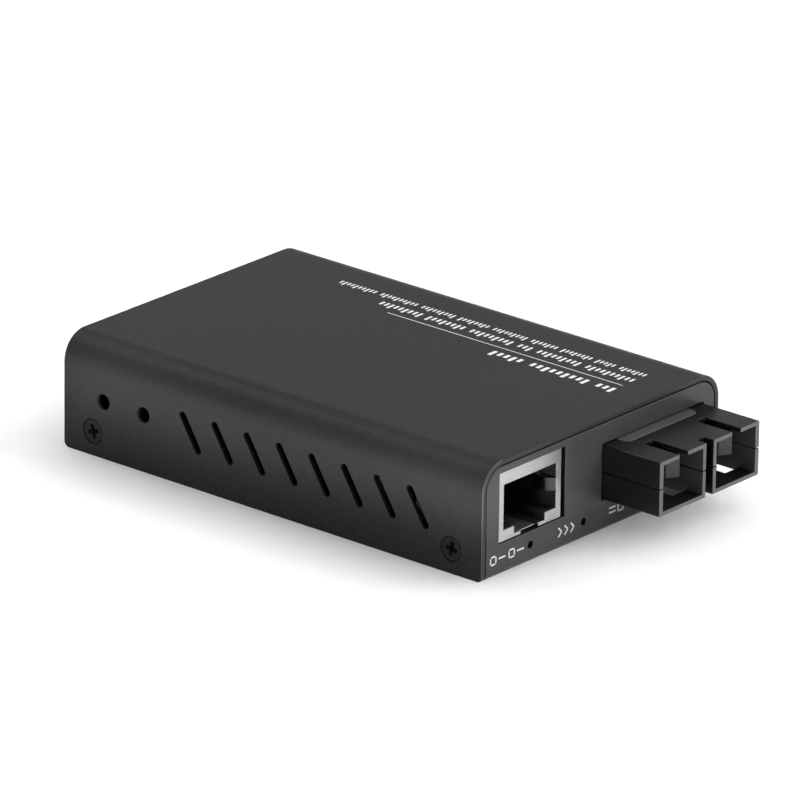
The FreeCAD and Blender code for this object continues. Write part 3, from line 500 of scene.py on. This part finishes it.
# Screen ink, baked: an opaque matt film.
WHITE_INK = Finish("screen_ink_white", "#e6e6e4", "#d8d8d5", 0.6, grain=0.2, relief=0.004)
# Zinc plate with black passivation: a dark metal, half glossy.
BLACK_ZINC = Finish("black_zinc_screw", "#29292b", "#1e1e20", 0.3, metallic=0.9, grain=0.25,
                    relief=0.006)
# Tin-plated steel strip, rolled: bright with faint streaks along the strip.
TIN_PLATE = Finish("tin_plated_shield", "#d2d2d0", "#bcbcba", 0.36, metallic=1.0, grain=0.18,
                   relief=0.002, stretch=(12.0, 12.0, 1.0))
# The same strip on the springs that bow into the mouth, painted darker: painted shade inside the
# socket.
SPRING_PAINTED_SHADE = Finish("tin_plated_spring", "#5c5c5a", "#4a4a48", 0.3, metallic=1.0, grain=0.18,
                      relief=0.002, stretch=(12.0, 12.0, 1.0))
# Glass-filled nylon, moulded: a black skin that fibres leave slightly dull.
JACK_PLASTIC = Finish("nylon_black_jack", "#191919", "#131313", 0.45, grain=0.15, relief=0.006)
# The moulding's left lip, its upper faces painted paler than the moulding: painted light where
# light falls in through the mouth.
JACK_LIP_PAINTED_LIGHT = Finish("nylon_jack_lip_painted_light", "#4e4e4e", "#404040", 0.5, grain=0.15, relief=0.006)
# Gold over nickel on drawn wire: a bright yellow metal with faint lines along the wire.
CONTACT_GOLD = Finish("gold_plated_wire", "#e0b458", "#c89a45", 0.25, metallic=1.0, grain=0.1,
                      relief=0.001, stretch=(1.0, 10.0, 1.0))
# Polybutylene terephthalate from a spark-eroded tool: satin black with a very fine grain.
NOSE_PLASTIC = Finish("pbt_black_nose", "#0f0f10", "#0c0c0d", 0.36, grain=0.16, relief=0.006,
                      specular=0.28)
# The same plastic on the front-facing rim, painted pale: a painted highlight for the light that the
# glossy rim catches.
NOSE_RIM_PAINTED_HIGHLIGHT = Finish("pbt_rim_nose", "#5e5e5f", "#525253", 0.40, grain=0.16, relief=0.004)
# The cavities' side walls: matt, and painted paler than the plastic, which is painted light for the
# light they catch.
NOSE_WALL_PAINTED_LIGHT = Finish("pbt_matt_wall_painted_light", "#3c3c3d", "#343435", 0.5, grain=0.16, relief=0.006)
# Conductive elastomer strip: a dull dark grey.
STRIP_GREY = Finish("conductive_strip_grey", "#4a4a4b", "#414142", 0.5, grain=0.2, relief=0.006)
# Polyetherimide, moulded: a smooth grey with a soft sheen.
INSERT_PLASTIC = Finish("pei_black_insert", "#5e5e5f", "#505051", 0.38, grain=0.15, relief=0.004)
# Ground zirconia: white and nearly polished.
ZIRCONIA = Finish("ground_zirconia", "#ecebe4", "#dedcd2", 0.22, grain=0.12, relief=0.001, ior=2.1)
# Cast epoxy, smoke tinted: dark and glassy.
LAMP_EPOXY = Finish("smoked_epoxy_lamp", "#3e403d", "#2e302d", 0.2, grain=0.3, relief=0.001)
# Nylon, moulded: the power socket's satin black.
INLET_PLASTIC = Finish("nylon_black_inlet", "#19191a", "#121213", 0.42, grain=0.18, relief=0.006)
# Nickel plate on turned brass: a warm pale metal.
NICKEL = Finish("nickel_plated_brass", "#c9c5bb", "#b4afa3", 0.28, metallic=1.0, grain=0.1,
                relief=0.001)
# Solder mask over woven glass laminate: deep green, with the weave just showing.
SOLDER_MASK = Finish("solder_mask_green", "#08140d", "#060f0a", 0.35, grain=0.6, relief=0.006)
# Transfer-moulded epoxy package: dull charcoal.
CHIP_EPOXY = Finish("epoxy_chip_package", "#242425", "#1a1a1b", 0.55, grain=0.12, relief=0.004)
# Drawn aluminium: bright, with faint upright draw lines.
DRAWN_ALUMINIUM = Finish("drawn_aluminium", "#c6c7c9", "#b2b3b6", 0.3, metallic=1.0, grain=0.15,
                         relief=0.001, stretch=(1.0, 1.0, 8.0))
# Matt opal acrylic, faintly lit from below: light spreads inside it, so shadows are soft.
FLOOR_OPAL = Finish("opal_acrylic_floor", "#f7f7f7", "#f6f6f6", 0.9, grain=3.0, relief=0.0,
                    patch=200.0, specular=0.0, glow_depth=40.0, backlight=0.06)


# ---------------------------------------------------------------- folded case


@dataclass
class FoldedCase:
    """Cover, tray and countersunk screws.

    Attributes:
        edge: how far the sheets' and mouldings' roundings reach.
        sheet: the steel's thickness.
        end_margin: how far the slots and seats stay from the cover's ends.
        punched_band: the lowest and highest level of slots and screw seats.
        bend_start: how far from the middle the cover's bends begin.
        key_holes: from where along the case, and from what level up, the key holes lie.
        highlight_turn: how far a face of the rim with the painted highlight is turned to the front,
            least and most.
        wall_turn: how far a wall of an opening may be turned to the front.
        seat_radius: radius of a screw's seat.
        head_radius: radius of a screw's head.
        head_sides: how many flats stand for its round.
        head_sink: how far a head lies under the cover's face.
        head_depth: depth of a head with its cone.
        rim_depth: depth of the head's upright rim.
        shank_radius: radius of a screw's shank.
        shank_length: how far the shank reaches past the cone.
        recess_span: how far the cross recess reaches across the head.
        recess_width: how wide each of its bars is.
        recess_depth: how deep it is.
        recess_taper: a bar's foot against its top, along it and across it.
        screw_edge: how far a screw's roundings reach.
        screw_sharp: a screw's edges flatter than this many degrees stay as they are.
        spins: how far each screw was turned home, in radians.
    """

    edge: float = 0.12
    sheet: float = 0.8
    end_margin: float = 1.0
    punched_band: tuple[float, float] = (1.0, 12.5)
    bend_start: float = 22.5
    key_holes: tuple[float, float] = (22.0, 7.5)
    highlight_turn: tuple[float, float] = (0.2, 0.97)
    wall_turn: float = 0.3
    seat_radius: float = 2.0
    head_radius: float = 1.9
    head_sides: int = 48
    head_sink: float = 0.08
    head_depth: float = 0.75
    rim_depth: float = 0.1
    shank_radius: float = 1.2
    shank_length: float = 2.1
    recess_span: float = 2.5
    recess_width: float = 0.7
    recess_depth: float = 0.9
    recess_taper: tuple[float, float] = (0.4, 0.7)
    screw_edge: float = 0.05
    screw_sharp: float = 35.0
    spins: tuple[float, float, float, float] = (-0.2, 0.25, 0.6, 1.1)

    def build(self) -> None:
        """Make and dress every piece of the case."""
        self.cover()
        self.tray()
        self.screws()

    def cover(self) -> None:
        """Cover with the small roundings of pressing and coating; painted light on its cut front
        end, a painted highlight on its front rim and painted shade in its slots and seats.
        """
        cover = from_frame("top_cover", "folded_cover")
        ease_edges(cover, self.edge)
        dress(cover, COVER_COAT, ("top_cover",))
        low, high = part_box("top_cover")
        inner = high.x - self.sheet * MM
        margin = self.end_margin * MM
        front = low.y + self.edge * MM
        least, most = self.highlight_turn

        def on_cut_end(centre: Vector, normal: Vector) -> bool:
            """Flat of the sheet's cut front end."""
            return normal.y < -FACING and centre.y < front

        def on_highlight_rim(centre: Vector, normal: Vector) -> bool:
            """Outer rounding of the front end, on the bends and sides, which gets a painted
            highlight.
            """
            turned = -most < normal.y < -least
            return turned and centre.y < front and abs(centre.x) > self.bend_start * MM

        def in_slot(centre: Vector, normal: Vector) -> bool:
            """Test for the wall of a slot or a screw's seat in one of the cover's sides.

            Args:
                centre: the face's centre.
                normal: the face's normal.

            Returns:
                True for such a wall.
            """
            inside = inner < abs(centre.x) < high.x and low.y + margin < centre.y < high.y - margin
            by_key_hole = centre.y > self.key_holes[0] * MM and centre.z > self.key_holes[1] * MM
            level = self.punched_band[0] * MM < centre.z < self.punched_band[1] * MM
            return inside and level and abs(normal.x) < SQUARE_ON and not by_key_hole

        # The cut front end gets painted light: a paler copy of the coat.
        paint_faces(cover, CUT_END_PAINTED_LIGHT, on_cut_end)
        # The front rim's outer rounding gets a painted highlight: a pale band for light caught on
        # the edge.
        paint_faces(cover, RIM_PAINTED_HIGHLIGHT, on_highlight_rim)
        # The walls of slots and screw seats get painted shade: near-black.
        paint_faces(cover, PAINTED_SHADE_EDGE, in_slot)

    def tray(self) -> None:
        """Tray with the small roundings of pressing and coating, and painted shade on its openings'
        walls.
        """
        tray = from_frame("base_tray", "folded_tray")
        ease_edges(tray, self.edge)
        dress(tray, PANEL_COAT, ("base_tray",))
        reach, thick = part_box("base_tray")[1], self.sheet * MM

        def in_port(centre: Vector, normal: Vector) -> bool:
            """Test for the wall of an opening in the port panel or the rear panel.

            Args:
                centre: the face's centre.
                normal: the face's normal.

            Returns:
                True for such a wall.
            """
            through = abs(abs(centre.y) - reach.y) < thick and abs(normal.y) < self.wall_turn
            level = 2 * thick < centre.z < reach.z - thick
            return through and level and abs(centre.x) < reach.x - 2 * thick

        # The walls of the panels' openings get painted shade: near-black.
        paint_faces(tray, PAINTED_SHADE_EDGE, in_port)

    def screw(self) -> Object:
        """Countersunk screw standing on its point, its head's face at the origin.

        Returns:
            The screw, undressed.
        """
        bpy.ops.object.select_all(action="DESELECT")
        bpy.ops.mesh.primitive_cylinder_add(
            vertices=self.head_sides, radius=self.head_radius * MM, depth=self.rim_depth * MM,
            location=(0, 0, -self.rim_depth * MM / 2))
        piece = settle(bpy.context.object, "screw")
        narrow = self.shank_radius / self.head_radius
        cone = (0, 0, (self.rim_depth - self.head_depth) * MM)
        shank = (0, 0, -self.shank_length * MM)
        with editing(piece):
            pick_faces(piece, lambda centre, normal: normal.z < -FACING)
            bpy.ops.mesh.extrude_region_move(TRANSFORM_OT_translate={"value": cone})
            bpy.ops.transform.resize(value=(narrow, narrow, 1))
            bpy.ops.mesh.extrude_region_move(TRANSFORM_OT_translate={"value": shank})
        for turn in (0, math.pi / 2):
            cut_away(piece, self.wing(turn))
        ease_edges(piece, self.screw_edge, self.screw_sharp)
        return piece

    def wing(self, turn: float) -> Object:
        """One tapered bar of the cross recess.

        Args:
            turn: how far it is turned about the screw's axis, in radians.

        Returns:
            The bar, to be cut away.
        """
        half, wide = self.recess_span * MM / 2, self.recess_width * MM / 2
        low = Vector((-half, -wide, -self.recess_depth * MM))
        bar = add_block("wing", low, Vector((half, wide, self.edge * MM)))
        with editing(bar):
            pick_faces(bar, lambda centre, normal: normal.z < -FACING)
            bpy.ops.transform.resize(value=(*self.recess_taper, 1))
        bar.data.transform(Matrix.Rotation(turn, 4, "Z"))
        return bar

    def screws(self) -> None:
        """Set a copy of the screw into each of the cover's four seats."""
        model = self.screw()
        low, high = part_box("cover_screws")
        level = (low.z + high.z) / 2
        ends = {"front": low.y + self.seat_radius * MM, "rear": high.y - self.seat_radius * MM}
        spins = iter(self.spins)
        for side in Side:
            for end, y in ends.items():
                face = (low if side is Side.LEFT else high).x - side.value * self.head_sink * MM
                lean = Matrix.Rotation(side.value * math.pi / 2, 4, "Y")
                spin = Matrix.Rotation(next(spins), 4, "Z")
                place = Matrix.Translation((face, y, level)) @ lean @ spin
                twin = moved_copy(model, f"cover_screw_{side.name.lower()}_{end}", place)
                dress(twin, BLACK_ZINC, ("cover_screws",))
                # Painted shade in each screw's cross recess and under its head's face.
                paint_faces(twin, PAINTED_SHADE_EDGE, lambda centre, normal, face=face: (
                    abs(centre.x - face) > self.edge * MM))
        bpy.data.objects.remove(model)


@dataclass(frozen=True)
class PrintRow:
    """One row of upright strokes in groups. Sizes are millimetres.

    Attributes:
        name: the piece's name.
        across: the row's middle, from the case's left edge.
        start: the row's start, from the ports' end.
        height: how tall the tall strokes are.
        stroke: how wide each stroke is.
        pitch: from one stroke to the next.
        groups: how many strokes stand together, group by group.
    """

    name: str
    across: float
    start: float
    height: float
    stroke: float
    pitch: float
    groups: tuple[int, ...]


@dataclass
class PrintedMarks:
    """Ink marks: rows of plain strokes and a rule on the cover, simple signs beside the lights.

    Attributes:
        film: the ink's thickness.
        short: how tall a short stroke is against a tall one.
        tall_every: how often a tall stroke comes.
        rule_across: the rule's middle, from the case's left edge.
        rule_span: the rule's two ends, from the ports' end.
        rule_width: how wide the rule is.
        sign_height: how tall a sign is.
        sign_level: the signs' middle, over the underside.
        sign_gap: space between two shapes of a sign.
        line: how wide a sign's lines are.
        link_start: where the first sign starts, from the case's left edge.
        link_pitch: from its first square to its second.
        dash: how long its dashes are.
        speed_start: where the second sign starts.
        chevrons: how many chevrons it has.
        chevron_pitch: from one chevron to the next.
        fibre_start: where the third sign starts.
        rows: the rows of strokes.
        left: the case's left edge, in metres.
        front: the cover's front edge, in metres.
        top: the cover's top, in metres.
        panel: the port panel's face, in metres.
    """

    film: float = 0.02
    short: float = 0.7
    tall_every: int = 3
    rule_across: float = 40.5
    rule_span: tuple[float, float] = (6.4, 53.3)
    rule_width: float = 0.16
    sign_height: float = 1.5
    sign_level: float = 2.9
    sign_gap: float = 0.5
    line: float = 0.26
    link_start: float = 1.9
    link_pitch: float = 4.3
    dash: float = 1.6
    speed_start: float = 17.9
    chevrons: int = 3
    chevron_pitch: float = 1.45
    fibre_start: float = 29.9
    rows: tuple[PrintRow, ...] = (
        PrintRow("print_row_far", 45.9, 6.5, 1.5, 0.34, 0.76, (7, 5, 8, 7, 9, 8, 9, 10, 10)),
        PrintRow("print_row_middle", 42.9, 6.5, 1.8, 0.44, 0.96, (10, 9, 3, 9, 8, 9)),
        PrintRow("print_row_near", 37.9, 6.2, 1.9, 0.66, 1.3, (3, 9, 5)),
    )
    left: float = field(init=False)
    front: float = field(init=False)
    top: float = field(init=False)
    panel: float = field(init=False)

    def build(self) -> None:
        """Print the cover and the port panel."""
        low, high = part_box("top_cover")
        self.left, self.front, self.top = low.x, low.y, high.z
        self.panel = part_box("base_tray")[0].y
        for row in self.rows:
            self.print_row(row)
        self.rule()
        self.link_sign()
        self.speed_sign()
        self.fibre_sign()

    def print_row(self, row: PrintRow) -> None:
        """Upright strokes in groups, tall and short in turn, lying along the case.

        Args:
            row: where the strokes stand and how they are grouped.
        """
        strokes = []
        along = row.start
        for group in row.groups:
            for index in range(group):
                tall = row.height * (self.short if (index + group) % self.tall_every else 1.0)
                low = self.on_top(row.across + row.height / 2 - tall, along)
                high = self.on_top(row.across + row.height / 2, along + row.stroke, self.film)
                strokes.append(add_block("stroke", low, high))
                along += row.pitch
            along += row.pitch
        dress(join_all(row.name, strokes), WHITE_INK)

    def rule(self) -> None:
        """One thin line along the case."""
        low = self.on_top(self.rule_across - self.rule_width / 2, self.rule_span[0])
        high = self.on_top(self.rule_across + self.rule_width / 2, self.rule_span[1], self.film)
        dress(add_block("print_rule", low, high), WHITE_INK)

    def link_sign(self) -> None:
        """Two hollow squares in a row, each with a dash after it."""
        parts = []
        for start in (self.link_start, self.link_start + self.link_pitch):
            parts += self.hollow_square(start)
            dash = start + self.sign_height + self.sign_gap
            parts.append(self.bar(dash, dash + self.dash, 0.0))
        dress(join_all("print_sign_link", parts), WHITE_INK)

    def hollow_square(self, start: float) -> list[Object]:
        """Four bars round a square as tall as a sign.

        Args:
            start: its left end, from the case's left edge.

        Returns:
            The four bars.
        """
        side = self.sign_height
        half = (side - self.line) / 2
        return [
            self.bar(start, start + side, half),
            self.bar(start, start + side, -half),
            self.bar(start, start + self.line, 0.0, side),
            self.bar(start + side - self.line, start + side, 0.0, side),
        ]

    def speed_sign(self) -> None:
        """Chevrons side by side, each of two slanted bars that meet at its tip."""
        parts = []
        half = self.sign_height / 4
        reach = half * math.sqrt(2)
        for index in range(self.chevrons):
            middle = self.speed_start + half + index * self.chevron_pitch
            across = self.left + middle * MM
            for rise, turn in ((half, 1), (-half, -1)):
                piece = self.bar(middle - reach, middle + reach, 0.0)
                centred = Matrix.Translation((-across, 0, -self.sign_level * MM))
                placed = Matrix.Translation((across, 0, (self.sign_level + rise) * MM))
                piece.data.transform(placed @ Matrix.Rotation(turn * math.pi / 4, 4, "Y") @ centred)
                parts.append(piece)
        dress(join_all("print_sign_speed", parts), WHITE_INK)

    def fibre_sign(self) -> None:
        """Two short bars, one over the other, and a hollow square after them."""
        start, rise = self.fibre_start, self.sign_height / 4
        end = start + self.sign_height
        parts = [self.bar(start, end, -rise), self.bar(start, end, rise)]
        parts += self.hollow_square(end + self.sign_gap)
        dress(join_all("print_sign_fibre", parts), WHITE_INK)

    def bar(self, start: float, end: float, rise: float, height: float = 0.0) -> Object:
        """Flat bar on the port panel.

        Args:
            start: its left end, from the case's left edge.
            end: its right end, from the case's left edge.
            rise: its middle's height over the signs' middle.
            height: how tall it is; a line's width where none is given.

        Returns:
            The bar.
        """
        half = (height or self.line) / 2
        foot, head = self.sign_level + rise - half, self.sign_level + rise + half
        low = Vector((self.left + start * MM, self.panel - self.film * MM, foot * MM))
        high = Vector((self.left + end * MM, self.panel, head * MM))
        return add_block("bar", low, high)

    def on_top(self, across: float, along: float, up: float = 0.0) -> Vector:
        """Point on the cover's top, from its left edge and the ports' end."""
        return Vector((self.left + across * MM, self.front + along * MM, self.top + up * MM))


# ---------------------------------------------------------------- ports


@dataclass
class CopperPort:
    """Shielded socket for a modular plug.

    Attributes:
        edge: how far its roundings reach.
        mouth_width: how wide its mouth is.
        spring_foot: how far under its middle the springs begin.
        lip_height: how high the moulding's lip stands in its lowest part.
    """

    edge: float = 0.05
    mouth_width: float = 12.2
    spring_foot: float = 4.0
    lip_height: float = 1.0

    def build(self) -> None:
        """Make and dress the shield, its moulding and its contacts."""
        shield = from_frame("rj45_shield", "modular_jack_shield")
        ease_edges(shield, self.edge)
        dress(shield, TIN_PLATE, ("rj45_shield",))
        low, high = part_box("rj45_shield")
        middle, reach = (low + high) / 2, self.mouth_width * MM / 2
        foot, lip = middle.z - self.spring_foot * MM, low.z + self.lip_height * MM

        def on_spring(centre: Vector, normal: Vector) -> bool:
            """Face of a spring that bows into the mouth."""
            in_mouth = abs(centre.x - middle.x) < reach and low.y < centre.y < middle.y
            return in_mouth and centre.z > foot

        def on_lip(centre: Vector, normal: Vector) -> bool:
            """Upper face of the moulding's left lip."""
            return normal.z > FACING and centre.z < lip and centre.x < middle.x

        # The springs get painted shade: a darker copy of the tin plate.
        paint_faces(shield, SPRING_PAINTED_SHADE, on_spring)
        housing = from_frame("rj45_housing", "modular_jack_moulding")
        ease_edges(housing, self.edge)
        dress(housing, JACK_PLASTIC, ("rj45_housing",))
        # The lip's upper faces get painted light: paler than the moulding.
        paint_faces(housing, JACK_LIP_PAINTED_LIGHT, on_lip)
        dress_frame(CONTACT_GOLD, "rj45_contacts")


@dataclass
class FibrePort:
    """Duplex push-pull port: two nose halves, strip, latch inserts and sleeves.

    Attributes:
        edge: how far the nose's roundings reach.
        strip_edge: how far the strip's roundings reach.
        insert_edge: how far the inserts' roundings reach.
        rim_reach: how far behind the front a face of the rim may lie.
        pitch: from one cavity's middle to the other's.
        cavity_width: how wide a cavity is.
        cavity_height: how high a cavity is.
        slack: how far past a cavity's wall a face still counts as its own.
        wall_turn: how far a cavity's side wall is turned sideways at least.
    """

    edge: float = 0.12
    strip_edge: float = 0.08
    insert_edge: float = 0.06
    rim_reach: float = 0.02
    pitch: float = 12.7
    cavity_width: float = 9.4
    cavity_height: float = 7.45
    slack: float = 0.02
    wall_turn: float = 0.7

    def build(self) -> None:
        """Make and dress the port's pieces."""
        self.nose_half("sc_lower_housing", "nose_lower_half")
        self.nose_half("sc_upper_housing", "nose_upper_half")
        strip = from_frame("shield_strip", "conductive_strip")
        ease_edges(strip, self.strip_edge)
        dress(strip, STRIP_GREY, ("shield_strip",))
        for side in Side:
            node = f"sc_latch_insert_{side.name.lower()}"
            insert = from_frame(node, f"latch_hooks_{side.name.lower()}")
            ease_edges(insert, self.insert_edge)
            dress(insert, INSERT_PLASTIC, (node,))
        dress_frame(ZIRCONIA, "ferrule_sleeve_left", "ferrule_sleeve_right")

    def nose_half(self, node: str, name: str) -> None:
        """One half of the nose, with painted light on its matt cavity walls and a painted highlight
        on its rim.

        Args:
            node: the frame's piece.
            name: the new piece's name.
        """
        half = from_frame(node, name)
        ease_edges(half, self.edge)
        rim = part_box(node)[0].y + self.rim_reach * MM
        dress(half, NOSE_PLASTIC, (node,))
        # The cavities' side walls get painted light: paler than the black plastic.
        paint_faces(half, NOSE_WALL_PAINTED_LIGHT, self.in_cavity)
        # The front-facing rim gets a painted highlight: pale grey on the black plastic.
        paint_faces(half, NOSE_RIM_PAINTED_HIGHLIGHT, lambda centre, normal: normal.y < -FACING and centre.y < rim)

    def in_cavity(self, centre: Vector, normal: Vector) -> bool:
        """Test for a side wall of one of the nose's two cavities.

        Args:
            centre: the face's centre.
            normal: the face's normal.

        Returns:
            True for such a wall.
        """
        low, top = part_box("sc_lower_housing")[0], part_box("sc_upper_housing")[1]
        middle = (low + top) / 2
        aside = abs(abs(centre.x - middle.x) - self.pitch * MM / 2)
        within = aside < (self.cavity_width / 2 + self.slack) * MM
        raised = abs(centre.z - middle.z) < (self.cavity_height / 2 + self.slack) * MM
        behind = centre.y > low.y + self.edge * MM
        return within and raised and behind and abs(normal.x) > self.wall_turn


@dataclass
class PowerInlet:
    """Round socket at the rear.

    Attributes:
        edge: how far its roundings reach.
    """

    edge: float = 0.1

    def build(self) -> None:
        """Make and dress the socket's moulding, pin and leaf."""
        housing = from_frame("power_inlet_housing", "power_socket_moulding")
        ease_edges(housing, self.edge)
        dress(housing, INLET_PLASTIC, ("power_inlet_housing",))
        dress_frame(NICKEL, "power_inlet_pin", "power_inlet_contact")


@dataclass
class Inside:
    """Board and what stands on it, seen only through the slots and ports.

    Attributes:
        light_count: how many status lights hang under the board.
    """

    light_count: int = 4

    def build(self) -> None:
        """Dress the frame's own pieces."""
        dress_frame(SOLDER_MASK, "main_board", "transceiver_board")
        dress_frame(CHIP_EPOXY, "switch_chip", "line_transformer", "regulator", "power_coil",
                    "capacitor_base_1", "capacitor_base_2")
        dress_frame(DRAWN_ALUMINIUM, "capacitor_can_1", "capacitor_can_2", "crystal")
        dress_frame(TIN_PLATE, "transceiver_cover")
        dress_frame(NICKEL, "board_standoffs", "board_screws", "transceiver_pins",
                    "light_sender", "light_receiver")
        lights = (f"status_light_{number}" for number in range(1, self.light_count + 1))
        dress_frame(LAMP_EPOXY, *lights)


# ---------------------------------------------------------------- studio


@dataclass(frozen=True)
class SoftLamp:
    """Rectangular studio light. Places and sides are millimetres.

    Attributes:
        name: the light's name.
        place: where it stands.
        sides: its height, and its length along the case.
        power: watts.
        aim: the point it faces.
        spread: how widely it shines, in degrees; less than 180 is a softbox with a grid.
        mirrored: whether glossy surfaces show it.
    """

    name: str
    place: Triple
    sides: tuple[float, float]
    power: float
    aim: Triple
    spread: float = 180.0
    mirrored: bool = True


@dataclass
class Studio:
    """Floor, sky, soft lights and the camera.

    Attributes:
        azimuth: the camera's heading from the ports' side, in degrees.
        elevation: its height over the floor, in degrees.
        roll: how far it is turned about its own axis, in degrees.
        distance: how far it stands from its aim.
        lens: its focal length.
        sensor: its sensor's width.
        clip: the nearest and farthest that it sees, in metres.
        aim: the point it faces.
        floor_side: the floor's side.
        floor_level: the floor's level, a film's thickness under the case.
        sky_low: the sky's brightness low down.
        sky_high: the sky's brightness overhead.
        sky_edge: where the one passes into the other.
        sky_lean: how far the bright part leans to the right and to the back.
        gap_heading: the way to the darker gap in the surroundings.
        gap_edge: where the gap begins and where it is darkest.
        gap_level: how bright the gap is against the rest.
        lamps: the lights.
    """

    azimuth: float = -49.804
    elevation: float = 21.010
    roll: float = 0.745
    distance: float = 1415.0
    lens: float = 415.85
    sensor: float = 36.0
    clip: tuple[float, float] = (0.05, 50.0)
    aim: Triple = (0.361, -1.725, 10.850)
    floor_side: float = 6000.0
    floor_level: float = -0.02
    sky_low: float = 0.5
    sky_high: float = 1.08
    sky_edge: tuple[float, float] = (0.5, 0.88)
    sky_lean: tuple[float, float] = (0.25, -0.15)
    gap_heading: Triple = (-0.71, 0.6, 0.36)
    gap_edge: tuple[float, float] = (0.93, 0.985)
    gap_level: float = 0.1
    lamps: tuple[SoftLamp, ...] = (
        SoftLamp("softbox_right", (330, -360, 520), (300, 400), 2.3, (0, -42, 8)),
        SoftLamp("softbox_back", (-60, 430, 540), (200, 220), 0.6, (0, 0, 10)),
        SoftLamp("softbox_back_right", (320, 340, 540), (260, 260), 0.7, (0, 0, 10),
                 mirrored=False),
        SoftLamp("gridded_strip_left", (-78.4, -14.5, 12.5), (8, 90), 0.0068, (-28, -2, 13),
                 spread=18, mirrored=False),
    )

    def build(self) -> None:
        """Set up everything round the object."""
        self.floor()
        self.world()
        for lamp in self.lamps:
            self.hang(lamp)
        self.camera()

    def floor(self) -> None:
        """Pale floor, just clear of the underside so that the two faces don't mix."""
        bpy.ops.object.select_all(action="DESELECT")
        level = (0, 0, self.floor_level * MM)
        bpy.ops.mesh.primitive_plane_add(size=self.floor_side * MM, location=level)
        ground = settle(bpy.context.object, "floor")
        ground.data.materials.append(FLOOR_OPAL.material())

    def world(self) -> None:
        """Soft light overhead that leans to the right and front, over dimmer surroundings.

        The surroundings have one darker gap, low at the left back.
        """
        sky = bpy.data.worlds.new("white_surroundings")
        sky.use_nodes = True
        tree = sky.node_tree
        tree.nodes.clear()
        heading = add_node(tree, "ShaderNodeTexCoord").outputs["Generated"]
        up = Vector((self.sky_lean[0], self.sky_lean[1], 1.0))
        height = add_node(
            tree, "ShaderNodeVectorMath", {"0": heading, "1": up}, operation="DOT_PRODUCT")
        level = add_node(tree, "ShaderNodeMapRange", {
            "Value": height.outputs["Value"],
            "From Min": self.sky_edge[0], "From Max": self.sky_edge[1],
            "To Min": self.sky_low, "To Max": self.sky_high,
        }, interpolation_type="SMOOTHSTEP")
        toward = Vector(self.gap_heading).normalized()
        nearness = add_node(
            tree, "ShaderNodeVectorMath", {"0": heading, "1": toward}, operation="DOT_PRODUCT")
        gap = add_node(tree, "ShaderNodeMapRange", {
            "Value": nearness.outputs["Value"],
            "From Min": self.gap_edge[0], "From Max": self.gap_edge[1],
            "To Min": 1.0, "To Max": self.gap_level,
        }, interpolation_type="SMOOTHSTEP")
        strength = add_node(
            tree, "ShaderNodeMath", {"0": level.outputs[0], "1": gap.outputs[0]},
            operation="MULTIPLY")
        light = add_node(tree, "ShaderNodeBackground", {
            "Color": linear("#ffffff"), "Strength": strength.outputs[0],
        })
        add_node(tree, "ShaderNodeOutputWorld", {"Surface": light.outputs[0]})
        bpy.context.scene.world = sky

    def hang(self, lamp: SoftLamp) -> None:
        """Hang one light with its long side along the case, out of the camera's sight.

        Args:
            lamp: the light.
        """
        data = bpy.data.lights.new(lamp.name, "AREA")
        data.shape = "RECTANGLE"
        data.size = lamp.sides[0] * MM
        data.size_y = lamp.sides[1] * MM
        data.energy = lamp.power
        data.spread = math.radians(lamp.spread)
        light = bpy.data.objects.new(lamp.name, data)
        back = (Vector(lamp.place) - Vector(lamp.aim)).normalized()
        across = Vector((0, 1, 0)).cross(back).normalized()
        axes = Matrix((across, back.cross(across), back)).transposed()
        light.matrix_world = Matrix.Translation(Vector(lamp.place) * MM) @ axes.to_4x4()
        light.visible_camera = False
        light.visible_glossy = lamp.mirrored
        bpy.context.scene.collection.objects.link(light)

    def camera(self) -> None:
        """Long lens from the left of the ports and above."""
        turn, rise, lean = map(math.radians, (self.azimuth, self.elevation, self.roll))
        level = math.cos(rise)
        back = Vector((math.sin(turn) * level, -math.cos(turn) * level, math.sin(rise)))
        right = Vector((math.cos(turn), math.sin(turn), 0))
        up = back.cross(right)
        tilted_right = right * math.cos(lean) + up * math.sin(lean)
        tilted_up = up * math.cos(lean) - right * math.sin(lean)
        data = bpy.data.cameras.new("camera")
        data.lens = self.lens
        data.sensor_width = self.sensor
        data.clip_start, data.clip_end = self.clip
        eye = bpy.data.objects.new("camera", data)
        axes = Matrix((tilted_right, tilted_up, back)).transposed()
        place = (Vector(self.aim) + back * self.distance) * MM
        eye.matrix_world = Matrix.Translation(place) @ axes.to_4x4()
        bpy.context.scene.collection.objects.link(eye)
        bpy.context.scene.camera = eye


# ---------------------------------------------------------------- the whole


def main() -> None:
    """Build every sub-assembly in order."""
    logging.basicConfig(level=logging.INFO, format="%(message)s")
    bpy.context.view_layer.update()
    bpy.context.scene.view_settings.view_transform = "Standard"
    parts = (
        FoldedCase(), PrintedMarks(), CopperPort(), FibrePort(), PowerInlet(), Inside(), Studio(),
    )
    for part in parts:
        log.info("building %s", type(part).__name__)
        part.build()


if __name__ == "__main__":
    main()
